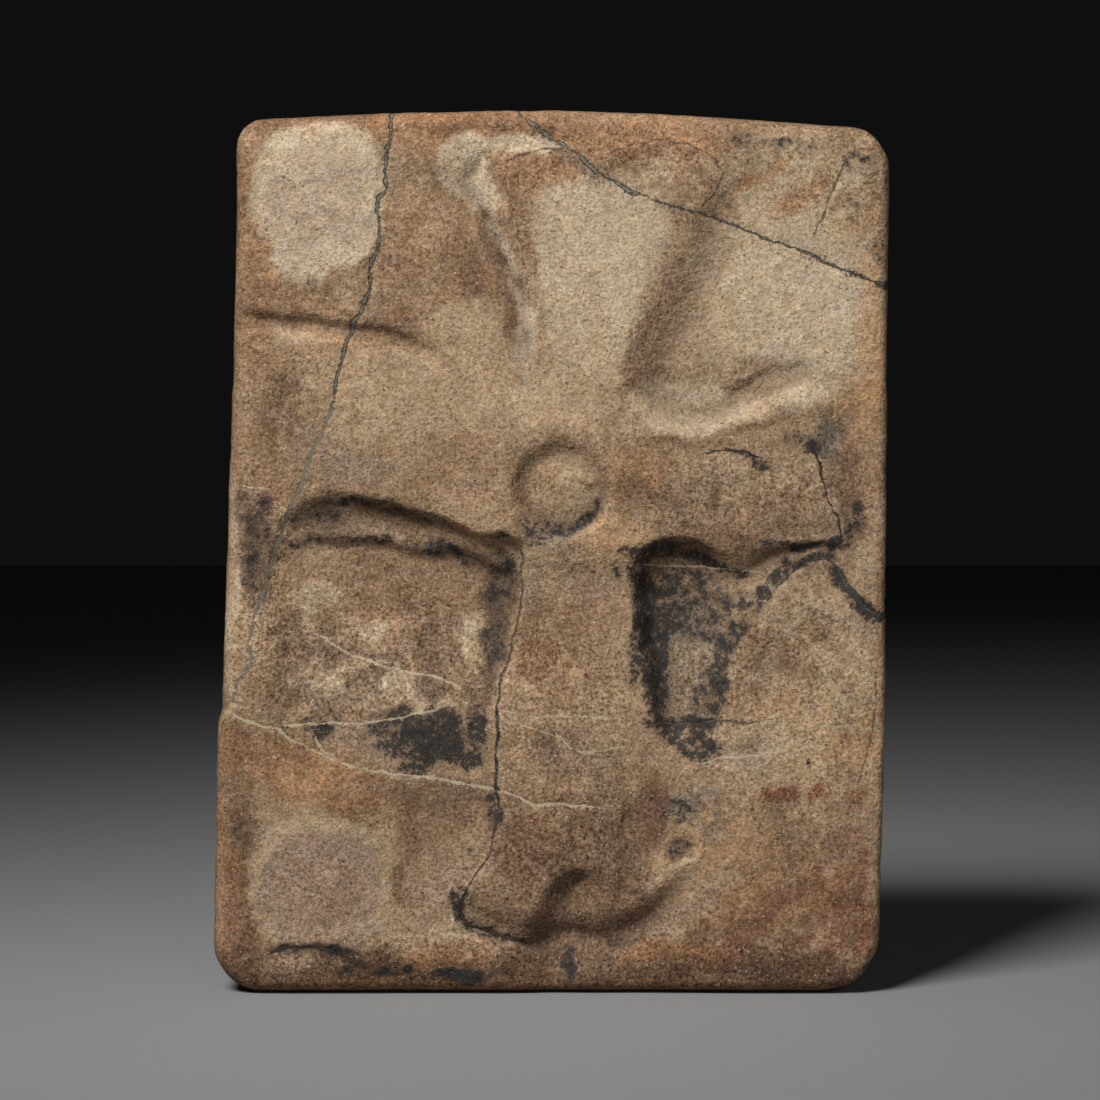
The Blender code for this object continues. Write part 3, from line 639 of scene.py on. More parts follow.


# Stains, with some painted shade and highlights among them, in the order that they are laid, each over those
# before it
STAINS_AND_PAINTED_LIGHT = (
    Patch(-27, 193, 19, 21, 0.75, Tone.BROWN, broken=0.3),
    Patch(-24, 217, 30, 5, 0.7, Tone.ORANGE),
    Patch(-32, 219, 24, 3, 0.5, Tone.BROWN, broken=0.3),
    Patch(-66, 219.8, 19, 2.6, 0.75, Tone.EARTH, 3, broken=0.2),
    Patch(-17, 218, 15, 2.6, 0.6, Tone.EARTH, broken=0.3),
    Patch(-82, 208, 4, 12, 0.5, Tone.BROWN),
    Patch(-37, 178, 6, 14, 0.4, Tone.BROWN),
    Patch(-33, 193, 8, 8, 0.35, Tone.HONEY, broken=0.4),
    Patch(-23, 187, 5, 4, 0.5, Tone.EARTH, broken=0.4),
    Patch(-18, 180, 4, 8, 0.5, Tone.EARTH, 22, broken=0.3),
    Patch(-34, 196, 3, 5, 0.4, Tone.EARTH, -20, broken=0.4),
    Patch(-21, 171, 6, 5, 0.4, Tone.SAND, broken=0.3),
    Patch(-30, 202, 6, 3, 0.4, Tone.EARTH, 20, broken=0.5),
    Patch(-74, 186, 6, 26, 0.55, Tone.ORANGE, broken=0.4),
    Patch(-58.5, 203, 17, 15, 1.0, Tone.CREAM, edge=0.07, power=3.0),
    Patch(-62.5, 184.5, 7, 9, 1.0, Tone.CREAM, edge=0.12),
    Patch(-54.5, 190.5, 10.5, 8, 1.0, Tone.CREAM, 15, edge=0.1),
    Patch(-58, 203, 12, 9, 0.5, Tone.LILAC, edge=0.4, broken=0.4),
    Patch(-64, 193, 7, 6, 0.5, Tone.LILAC, edge=0.4, broken=0.3),
    Patch(-51, 193, 7, 5, 0.5, Tone.LILAC, edge=0.4, broken=0.4),
    Patch(-68, 173, 15, 6, 0.6, Tone.EARTH, broken=0.3),
    Patch(-42, 168, 12, 6, 0.5, Tone.EARTH, -12, broken=0.3),
    Patch(-76, 190, 4, 14, 0.4, Tone.EARTH, broken=0.4),
    Patch(-64, 165.5, 5, 1.8, 0.5, Tone.CREAM, -8),
    Patch(-55, 160.5, 8, 5, 0.6, Tone.BROWN, broken=0.3),
    Patch(-20.5, 168, 10, 8, 0.6, Tone.SAND),
    Patch(-45, 148, 24, 14, 0.5, Tone.SAND, broken=0.4),
    Patch(-28, 152, 22, 10, 0.45, Tone.SAND),
    Patch(-30, 133, 30, 7, 0.55, Tone.BROWN, broken=0.4),
    Patch(-48, 133, 10, 4, 0.45, Tone.ASH, broken=0.6),
    Patch(-75, 150, 7, 34, 0.6, Tone.BROWN, broken=0.3),
    Patch(-67, 148, 7, 13, 0.6, Tone.EARTH, broken=0.6),
    Patch(-67, 149, 4.4, 8, 0.4, Tone.UMBER, broken=0.5),
    Patch(-60, 138, 5, 7, 0.4, Tone.LILAC),
    Patch(-36, 208, 7, 9, 0.4, Tone.SAND, broken=0.3),
    Patch(-23, 211.5, 6, 4.5, 0.95, Tone.CREAM, edge=0.2),
    Patch(-23.5, 206.5, 4.4, 5.6, 0.85, Tone.CREAM, 26, 0.25),
    Patch(-18.5, 205.5, 3, 9, 0.9, Tone.CREAM, 40, 0.2),
    Patch(-8, 213.2, 12, 2.2, 0.95, Tone.CREAM, 5, 0.25),
    Patch(-21.5, 204, 3, 6, 0.9, Tone.CREAM, 34, 0.25),
    # These three dark strips are painted shade on the hollow's slope beside the upper arm's lit wall.
    Patch(-15, 189, 1.6, 8, 0.5, Tone.UMBER, 20, broken=0.4),
    Patch(-12.4, 185.5, 1.5, 3.4, 0.8, Tone.UMBER, 18, broken=0.2),
    Patch(-11, 171, 1.5, 9, 0.6, Tone.EARTH, 9, broken=0.3),
    # The pearl strip down the upper arm's left wall is partly the wall's pale colour and partly a painted
    # highlight where it faces the light.
    Patch(-18.4, 200.8, 1.6, 6, 0.95, Tone.PEARL, 40),
    Patch(-12.6, 190.8, 1.7, 8.5, 0.95, Tone.PEARL, 22),
    Patch(-8.6, 178.3, 1.9, 8.5, 1.0, Tone.PEARL, 14),
    Patch(-6.6, 165.8, 1.9, 9.5, 0.9, Tone.PEARL, 4),
    Patch(-7.6, 154, 2.2, 7, 0.55, Tone.PEARL, -14, 0.6),
    Patch(-5, 149, 5, 6, 0.6, Tone.SAND),
    Patch(10, 181, 13.5, 26, 0.8, Tone.CREAM, edge=0.2, power=3.0),
    Patch(-5.5, 190, 1.6, 14, 0.6, Tone.BROWN, 14, broken=0.2),
    Patch(-6.5, 201, 5, 6, 0.5, Tone.BROWN, broken=0.2),
    Patch(17, 195, 10, 9, 0.6, Tone.CREAM),
    Patch(20, 187, 8.5, 14, 0.8, Tone.CREAM, -16, 0.25, 3.0),
    Patch(6, 210.5, 13, 1.6, 0.5, Tone.ASH, -33),
    Patch(60, 187, 22, 1.6, 0.4, Tone.LILAC, -19),
    Patch(8, 160, 11, 12, 0.5, Tone.SAND),
    Patch(-3, 207, 11, 4.5, 0.5, Tone.ORANGE),
    Patch(-4, 206, 9, 4, 0.4, Tone.BROWN, broken=0.4),
    Patch(25, 214, 22, 5, 0.55, Tone.ORANGE, broken=0.3),
    Patch(30, 205, 12, 6, 0.4, Tone.SAND),
    Patch(34.5, 205, 4, 8, 0.6, Tone.BROWN, broken=0.3),
    Patch(40.5, 203, 1.8, 7, 0.6, Tone.EARTH, 30, broken=0.2),
    Patch(29, 211.5, 9, 2, 0.5, Tone.EARTH, broken=0.3),
    Patch(16, 208, 5, 1.6, 0.5, Tone.EARTH, 28, broken=0.3),
    Patch(56, 207, 14, 8, 0.5, Tone.SAND, broken=0.3),
    Patch(54, 199, 12, 7, 0.5, Tone.SAND, -10),
    Patch(66, 199, 16, 9, 0.5, Tone.CREAM, broken=0.4),
    Patch(74, 201, 7, 11, 0.35, Tone.BROWN, broken=0.6),
    Patch(66, 199, 15, 9, 0.45, Tone.SAND, broken=0.2),
    Patch(75, 211, 11, 6, 0.55, Tone.SAND),
    Patch(82, 196, 2.6, 20, 0.3, Tone.BROWN),
    Patch(62, 200, 10, 2.4, 0.6, Tone.ORANGE, 30, broken=0.3),
    Patch(53, 206, 9, 1.8, 0.6, Tone.ORANGE, 32, broken=0.3),
    Patch(74, 192, 7, 2.4, 0.5, Tone.ORANGE, 40, broken=0.3),
    Patch(77, 203, 6, 1.6, 0.5, Tone.BROWN, 45, broken=0.3),
    Patch(78, 215.5, 9, 3.4, 0.6, Tone.BROWN, -12, broken=0.2),
    Patch(77, 205.5, 5, 4.4, 0.45, Tone.CREAM, broken=0.3),
    Patch(60, 193.5, 13, 4, 0.5, Tone.CREAM, -16, broken=0.2),
    Patch(62, 208, 9, 2, 0.4, Tone.CREAM, 22, broken=0.4),
    Patch(60, 172, 24, 17, 0.85, Tone.CREAM, edge=0.3),
    Patch(46, 186, 14, 8, 0.6, Tone.CREAM),
    Patch(42, 165, 14, 12, 0.4, Tone.SAND),
    Patch(74, 176, 8, 18, 0.5, Tone.CREAM),
    # These two brown ovals are painted shade on the slope of the upper right hollow.
    Patch(35, 180, 8, 18, 0.3, Tone.BROWN, -20),
    Patch(24, 160, 6, 13, 0.35, Tone.BROWN, -8),
    Patch(20.3, 160, 0.9, 8, 0.6, Tone.BROWN, -5),
    Patch(20.5, 152, 2, 4, 0.4, Tone.EARTH, broken=0.5),
    # Painted highlight on the lit rim above the right arm.
    Patch(34, 149, 15, 5.5, 0.75, Tone.CREAM),
    Patch(56, 171, 10, 8, 0.4, Tone.CREAM),
    # The next three cream ovals are painted highlight on the lit rim above the right arm.
    Patch(33, 143.3, 10, 2.6, 0.6, Tone.CREAM, -2),
    Patch(48, 146.5, 9, 2.4, 0.5, Tone.CREAM, 18),
    Patch(64, 152, 10, 2.4, 0.5, Tone.CREAM, 10),
    Patch(31, 139.8, 11, 1.0, 0.8, Tone.EARTH, -6),
    Patch(50, 143, 11, 1.0, 0.75, Tone.EARTH, 14, broken=0.2),
    Patch(50, 158, 7, 2.6, 0.35, Tone.BROWN, 18),
    Patch(80.5, 165, 3.6, 24, 0.6, Tone.HONEY),
    Patch(72, 156, 8, 5, 0.4, Tone.CREAM),
    Patch(76, 147, 7, 9, 0.35, Tone.ORANGE, broken=0.5),
    Patch(78, 133, 5, 12, 0.4, Tone.BROWN, broken=0.6),
    Patch(79, 114, 6, 7, 0.6, Tone.SAND),
    Patch(20, 147, 9, 6, 0.4, Tone.SAND),
    Patch(2, 148, 13, 6, 0.6, Tone.SAND),
    Patch(14, 142, 7, 3, 0.35, Tone.BROWN, 30, broken=0.4),
    Patch(4, 139.5, 7, 2.4, 0.5, Tone.BROWN, broken=0.2),
    Patch(11, 136, 3, 3, 0.5, Tone.BROWN, -40, broken=0.2),
    Patch(19, 148.5, 1.6, 1.6, 0.5, Tone.UMBER, broken=0.4),
    Patch(22, 131, 8, 8, 0.35, Tone.ORANGE),
    Patch(30, 133, 6, 3, 0.35, Tone.RUST, broken=0.6),
    Patch(17, 115, 9, 6, 0.6, Tone.HONEY),
    Patch(3, 128, 10, 9, 0.6, Tone.SAND),
    Patch(-1, 126, 5, 6, 0.45, Tone.BROWN, broken=0.2),
    Patch(-9.5, 137, 4.5, 8, 0.55, Tone.OLIVE, broken=0.2),
    # Painted shade on the sunk disc's left wall.
    Patch(-7.8, 127, 2.6, 9, 0.75, Tone.BROWN),
    Patch(2, 117.5, 9, 3.4, 0.6, Tone.ASH, 6, broken=0.4),
    Patch(17, 128, 9, 2.4, 0.5, Tone.EARTH, -12, broken=0.4),
    Patch(24, 126, 8, 3, 0.4, Tone.EARTH, broken=0.6),
    Patch(44, 128, 24, 10, 0.4, Tone.BROWN, broken=0.3),
    Patch(50, 128, 13, 7, 0.5, Tone.EARTH, broken=0.8),
    Patch(43, 134, 9, 2.4, 0.4, Tone.LILAC, broken=0.4),
    Patch(36, 126, 9, 5, 0.4, Tone.UMBER, broken=0.8),
    Patch(49, 128.5, 12, 5, 0.4, Tone.SAND, broken=0.3),
    # Painted shade under the right arm.
    Patch(45, 118, 22, 3, 0.4, Tone.BROWN),
    Patch(43, 114.5, 9, 3.6, 0.7, Tone.EARTH, -10, broken=0.2),
    Patch(44, 135, 18, 7, 0.35, Tone.SAND, broken=0.2),
    Patch(47, 138.5, 14, 1.6, 0.5, Tone.BROWN, 6),
    # Painted highlight on the lit rim above the right arm's end.
    Patch(65, 151, 8, 3.4, 0.7, Tone.CREAM, 12),
    Patch(76.5, 151, 5, 5, 0.5, Tone.HONEY),
    Patch(69, 141.2, 4.8, 3.8, 0.75, Tone.SLATE, 20, 0.6, broken=0.4),
    Patch(71, 138, 2, 6, 0.5, Tone.ASH, 10),
    Patch(75.5, 128, 3.2, 12, 0.7, Tone.EARTH, 8, broken=0.3),
    Patch(66, 106, 7, 4.4, 0.55, Tone.UMBER, broken=0.4),
    Patch(76, 119, 3.5, 5, 0.6, Tone.UMBER, broken=0.4),
    Patch(-80.5, 108, 2.2, 26, 0.6, Tone.CREAM),
    Patch(-73.4, 112, 4.6, 14.5, 0.85, Tone.UMBER, 4, 0.2, 4.0, 0.25),
    Patch(-70, 126, 3, 6, 0.25, Tone.RUST, broken=0.5),
    # The two umber ovals here and the olive and earth bands after the next line are partly painted shade
    # under the left arm's overhang and on its ledge.
    Patch(-59, 120.5, 7.5, 3.6, 1.0, Tone.UMBER, 8, broken=0.1),
    Patch(-54, 117.5, 7, 4.6, 0.8, Tone.UMBER, broken=0.2),
    Patch(-66, 128, 5, 4.4, 0.5, Tone.BROWN, broken=0.3),
    Patch(-50, 119.5, 18, 3.4, 0.6, Tone.OLIVE, -4, broken=0.2),
    Patch(-50, 122.5, 14, 2.2, 0.55, Tone.EARTH, -4, broken=0.2),
    Patch(-28, 116.5, 14, 3, 0.35, Tone.EARTH, -14, broken=0.3),
    Patch(-25, 111.5, 10, 2.4, 0.6, Tone.UMBER, -8, broken=0.3),
    Patch(-38, 103, 24, 9, 0.6, Tone.BROWN),
    Patch(-30, 97, 16, 7, 0.35, Tone.BROWN, broken=0.3),
    Patch(-59, 100, 5, 4, 0.7, Tone.CREAM, broken=0.5),
    Patch(-44.5, 92, 4, 3, 0.65, Tone.CREAM, broken=0.4),
    Patch(-50, 79, 16, 5, 0.65, Tone.CREAM, broken=0.6),
    Patch(-62, 90, 9, 9, 0.55, Tone.UMBER, broken=0.7),
    Patch(-52, 84, 14, 8, 0.45, Tone.UMBER, broken=0.9),
    Patch(-30, 87, 10, 8, 0.4, Tone.BROWN),
    Patch(-34, 84.5, 15, 4.6, 0.5, Tone.UMBER, -6, broken=0.6),
    Patch(-55, 73, 6, 5, 0.55, Tone.UMBER, broken=0.5),
    Patch(-27, 89, 8, 7, 0.5, Tone.UMBER, broken=0.5),
    Patch(-19.5, 90, 2.2, 8, 0.7, Tone.CREAM, -10, broken=0.6),
    Patch(-34, 75, 12, 4, 0.6, Tone.CREAM, -14, broken=0.7),
    Patch(-62, 76, 8, 3, 0.5, Tone.CREAM, broken=0.8),
    Patch(-29, 77.5, 4, 3.4, 0.8, Tone.UMBER, broken=0.2),
    Patch(-66, 77, 5, 5, 0.6, Tone.UMBER, broken=0.5),
    Patch(-22, 110, 8, 2.4, 0.5, Tone.UMBER, broken=0.3),
    Patch(-12.2, 102, 4.0, 8.5, 1.0, Tone.UMBER, -6, broken=0.3),
    Patch(-1, 107, 7, 7, 0.7, Tone.SAND),
    Patch(-10, 113.5, 3.4, 2.4, 0.6, Tone.TAN),
    Patch(-13.4, 87, 3.8, 11, 1.0, Tone.UMBER, -12, broken=0.3),
    Patch(-17.5, 78, 4, 5, 0.6, Tone.UMBER, -12, broken=0.4),
    Patch(-45, 64, 17, 4.5, 0.5, Tone.LILAC, broken=0.3),
    Patch(-70, 78, 8, 8, 0.4, Tone.BROWN, broken=0.5),
    Patch(-73, 11, 6, 6, 0.5, Tone.EARTH, broken=0.2),
    Patch(-62, 56, 22, 7, 0.6, Tone.ORANGE, -17, broken=0.2),
    Patch(-70, 62, 12, 5, 0.45, Tone.EARTH, broken=0.5),
    Patch(-40, 49, 14, 6, 0.6, Tone.EARTH, broken=0.4),
    Patch(-28, 46, 12, 7, 0.6, Tone.EARTH, broken=0.4),
    Patch(-28, 50.5, 10, 4, 0.5, Tone.UMBER, -6, broken=0.5),
    Patch(-30, 38, 5, 7, 0.4, Tone.BROWN, broken=0.4),
    Patch(-20, 51, 6, 3, 0.6, Tone.UMBER, broken=0.4),
    Patch(-36, 52, 4, 3, 0.4, Tone.UMBER, broken=0.3),
    Patch(-78, 56, 5, 14, 0.55, Tone.EARTH, broken=0.3),
    Patch(-78, 26, 4.5, 22, 0.75, Tone.EARTH, broken=0.3),
    Patch(-80, 20, 3, 14, 0.35, Tone.RUST, broken=0.4),
    Patch(-74, 41, 4, 5, 0.65, Tone.UMBER, broken=0.4),
    Patch(-57.5, 27.5, 18.6, 18.4, 0.85, Tone.SAND, edge=0.1, power=2.6),
    Patch(-57.5, 25.6, 16, 16.2, 0.95, Tone.LILAC, edge=0.12, power=2.4),
    Patch(-57, 24, 11, 11, 0.4, Tone.BROWN, edge=0.4, broken=0.5),
    Patch(-27, 24, 9, 13, 0.5, Tone.LILAC, broken=0.2),
    Patch(-21, 34, 3, 6, 0.6, Tone.SAND, broken=0.3),
    Patch(-23, 19, 5, 5, 0.6, Tone.SAND, broken=0.3),
    Patch(-37, 34, 1.2, 12, 0.6, Tone.EARTH, -2),
    Patch(-34, 42, 1.6, 9, 0.5, Tone.EARTH, -6, broken=0.3),
    Patch(-44, 15.5, 26, 3.4, 0.5, Tone.SAND),
    Patch(-28, 9, 26, 2.6, 0.6, Tone.ORANGE, broken=0.3),
    Patch(-10, 10, 22, 4, 0.6, Tone.EARTH, broken=0.4),
    Patch(-45, 7, 6, 3, 0.3, Tone.EARTH, broken=0.2),
    Patch(-44, 10.5, 6, 2.4, 0.5, Tone.TAN),
    Patch(-66, 11.4, 6, 1.9, 0.9, Tone.UMBER, 10, 0.3),
    Patch(-57, 11.4, 6.5, 2.0, 0.9, Tone.UMBER, -12, 0.3),
    Patch(-50.5, 8.6, 3, 2, 0.9, Tone.UMBER, -40, 0.3),
    Patch(-59.5, 7.8, 8, 1.4, 0.85, Tone.SAND, -2, 0.25, broken=0.2),
    Patch(12.5, 65, 8, 12, 0.45, Tone.OLIVE),
    Patch(2, 92, 11, 18, 0.5, Tone.BROWN, broken=0.3),
    Patch(0, 90, 8, 12, 0.35, Tone.EARTH, broken=0.9),
    Patch(-4, 101, 4, 4, 0.5, Tone.ASH, broken=0.6),
    Patch(11, 95, 6, 6, 0.5, Tone.BROWN, broken=0.3),
    Patch(0, 62, 5, 5, 0.4, Tone.UMBER, broken=0.5),
    Patch(8, 104, 6, 4, 0.3, Tone.SLATE, broken=0.8),
    Patch(-3, 85, 6, 6, 0.3, Tone.RUST, broken=0.7),
    Patch(3.5, 60, 5, 6, 0.5, Tone.UMBER, broken=0.6),
    Patch(11, 52, 3, 5, 0.5, Tone.UMBER, broken=0.7),
    Patch(0, 40, 14, 11, 0.65, Tone.EARTH, broken=0.3),
    Patch(-4, 36, 9, 8, 0.3, Tone.RUST, broken=0.4),
    Patch(8, 38, 7, 9, 0.3, Tone.UMBER, broken=0.6),
    Patch(16, 38, 5.5, 16, 0.6, Tone.UMBER, -6, broken=0.35),
    Patch(21, 31, 5.5, 8, 0.7, Tone.UMBER, -8, broken=0.2),
    # Painted shadow under the foot's right lobe.
    Patch(20, 17, 9, 4, 0.7, Tone.UMBER, 22, broken=0.2),
    Patch(-6, 29, 10, 5, 0.35, Tone.UMBER, broken=0.5),
    Patch(-8, 22, 11, 6, 0.5, Tone.EARTH),
    Patch(-6, 18, 7, 4, 0.5, Tone.UMBER),
    Patch(14, 22, 14, 9, 0.6, Tone.EARTH, broken=0.2),
    Patch(14, 17, 13, 4.5, 0.6, Tone.UMBER),
    Patch(2, 24, 4, 9, 0.5, Tone.UMBER, -20),
    Patch(5, 11, 10, 5, 0.5, Tone.EARTH, broken=0.2),
    Patch(8, 11, 24, 4.5, 0.6, Tone.UMBER, broken=0.4),
    Patch(0, 6, 20, 5, 0.6, Tone.UMBER, broken=0.3),
    Patch(36, 86, 9, 18, 0.75, Tone.OLIVE, broken=0.1),
    Patch(36, 84, 7, 14, 0.4, Tone.ASH, broken=0.5),
    Patch(62, 84, 20, 14, 0.35, Tone.SAND),
    Patch(60, 90, 14, 9, 0.5, Tone.EARTH, broken=0.9),
    Patch(54, 76, 12, 8, 0.4, Tone.EARTH, broken=0.9),
    Patch(62, 98, 14, 6, 0.5, Tone.SAND),
    Patch(66, 66, 18, 13, 0.55, Tone.HONEY),
    Patch(74, 80, 7, 12, 0.5, Tone.SAND, broken=0.3),
    Patch(48, 62, 12, 6, 0.5, Tone.SAND),
    Patch(54, 62, 18, 9, 0.3, Tone.CREAM, broken=0.4),
    Patch(70, 74, 10, 6, 0.35, Tone.ASH, broken=0.8),
    Patch(58, 34, 22, 14, 0.4, Tone.BROWN, broken=0.3),
    Patch(52, 36, 9, 5, 0.35, Tone.RUST, -20, broken=0.6),
    Patch(42, 40, 12, 7, 0.4, Tone.HONEY),
    Patch(36, 24, 9, 6, 0.45, Tone.LILAC, broken=0.3),
    Patch(58, 17, 24, 8, 0.6, Tone.EARTH, 18, broken=0.6),
    Patch(77, 18, 5, 9, 0.6, Tone.RUST, 10, broken=0.6),
    Patch(66, 10, 12, 5, 0.4, Tone.RUST, 20, broken=0.7),
    Patch(58, 25, 18, 2.4, 0.45, Tone.RUST, 36, broken=0.5),
    Patch(50, 15, 13, 2.2, 0.5, Tone.RUST, 32, broken=0.5),
    Patch(70, 38, 10, 3, 0.35, Tone.RUST, 28, broken=0.6),
    Patch(62, 20, 12, 1.6, 0.4, Tone.SAND, 38, broken=0.4),
    Patch(48, 24, 14, 3, 0.45, Tone.ORANGE, 35, broken=0.3),
    Patch(68, 26, 14, 3, 0.45, Tone.ORANGE, 40, broken=0.3),
    Patch(38, 12, 3, 6, 0.6, Tone.EARTH, -20, broken=0.2),
    Patch(60, 6, 20, 3.5, 0.6, Tone.EARTH, broken=0.3),
    Patch(30, 9, 14, 4, 0.6, Tone.ORANGE),
    Patch(74, 20, 6, 12, 0.4, Tone.RUST, broken=0.6),
    Patch(45, 12, 8, 3, 0.4, Tone.RUST, 30, broken=0.4),
    Patch(25.5, 45, 4.6, 9, 0.9, Tone.EARTH, -8, 0.35, broken=0.1),
    Patch(25, 48, 3, 4, 0.5, Tone.UMBER, broken=0.3),
    Patch(27, 47, 3, 5, 0.4, Tone.RUST, broken=0.5),
    Patch(19, 38, 2, 10, 0.6, Tone.EARTH, 4),
    Patch(33.5, 37.5, 4.6, 2.8, 0.8, Tone.UMBER, 12, 0.3, broken=0.3),
    Patch(35, 34, 3.6, 0.9, 0.75, Tone.CREAM, 6),
    Patch(36, 47, 8, 3.4, 0.6, Tone.SLATE, 12, 0.7, broken=0.9),
    Patch(41, 42, 4, 3, 0.4, Tone.SLATE, 40, 0.7, broken=0.9),
    Patch(50, 60, 5, 4, 0.3, Tone.SLATE, broken=0.6),
    Patch(57.5, 50.6, 4.4, 2.2, 1.0, Tone.RUST, -14, broken=0.2),
    Patch(57, 50.2, 2.4, 1.4, 0.6, Tone.UMBER, -14, broken=0.4),
    Patch(67, 50.5, 2.8, 1.6, 0.95, Tone.RUST, 35, broken=0.1),
    Patch(77, 50, 1.8, 1.6, 0.6, Tone.RUST),
    Patch(75.5, 47, 2.6, 0.8, 0.6, Tone.RUST, 35),
    Patch(78.5, 36.5, 1.4, 2.6, 0.8, Tone.RUST, broken=0.3),
    Patch(79, 28, 1.5, 6, 0.5, Tone.RUST, broken=0.6),
    Patch(82.5, 60, 1.6, 34, 0.5, Tone.SAND),
)

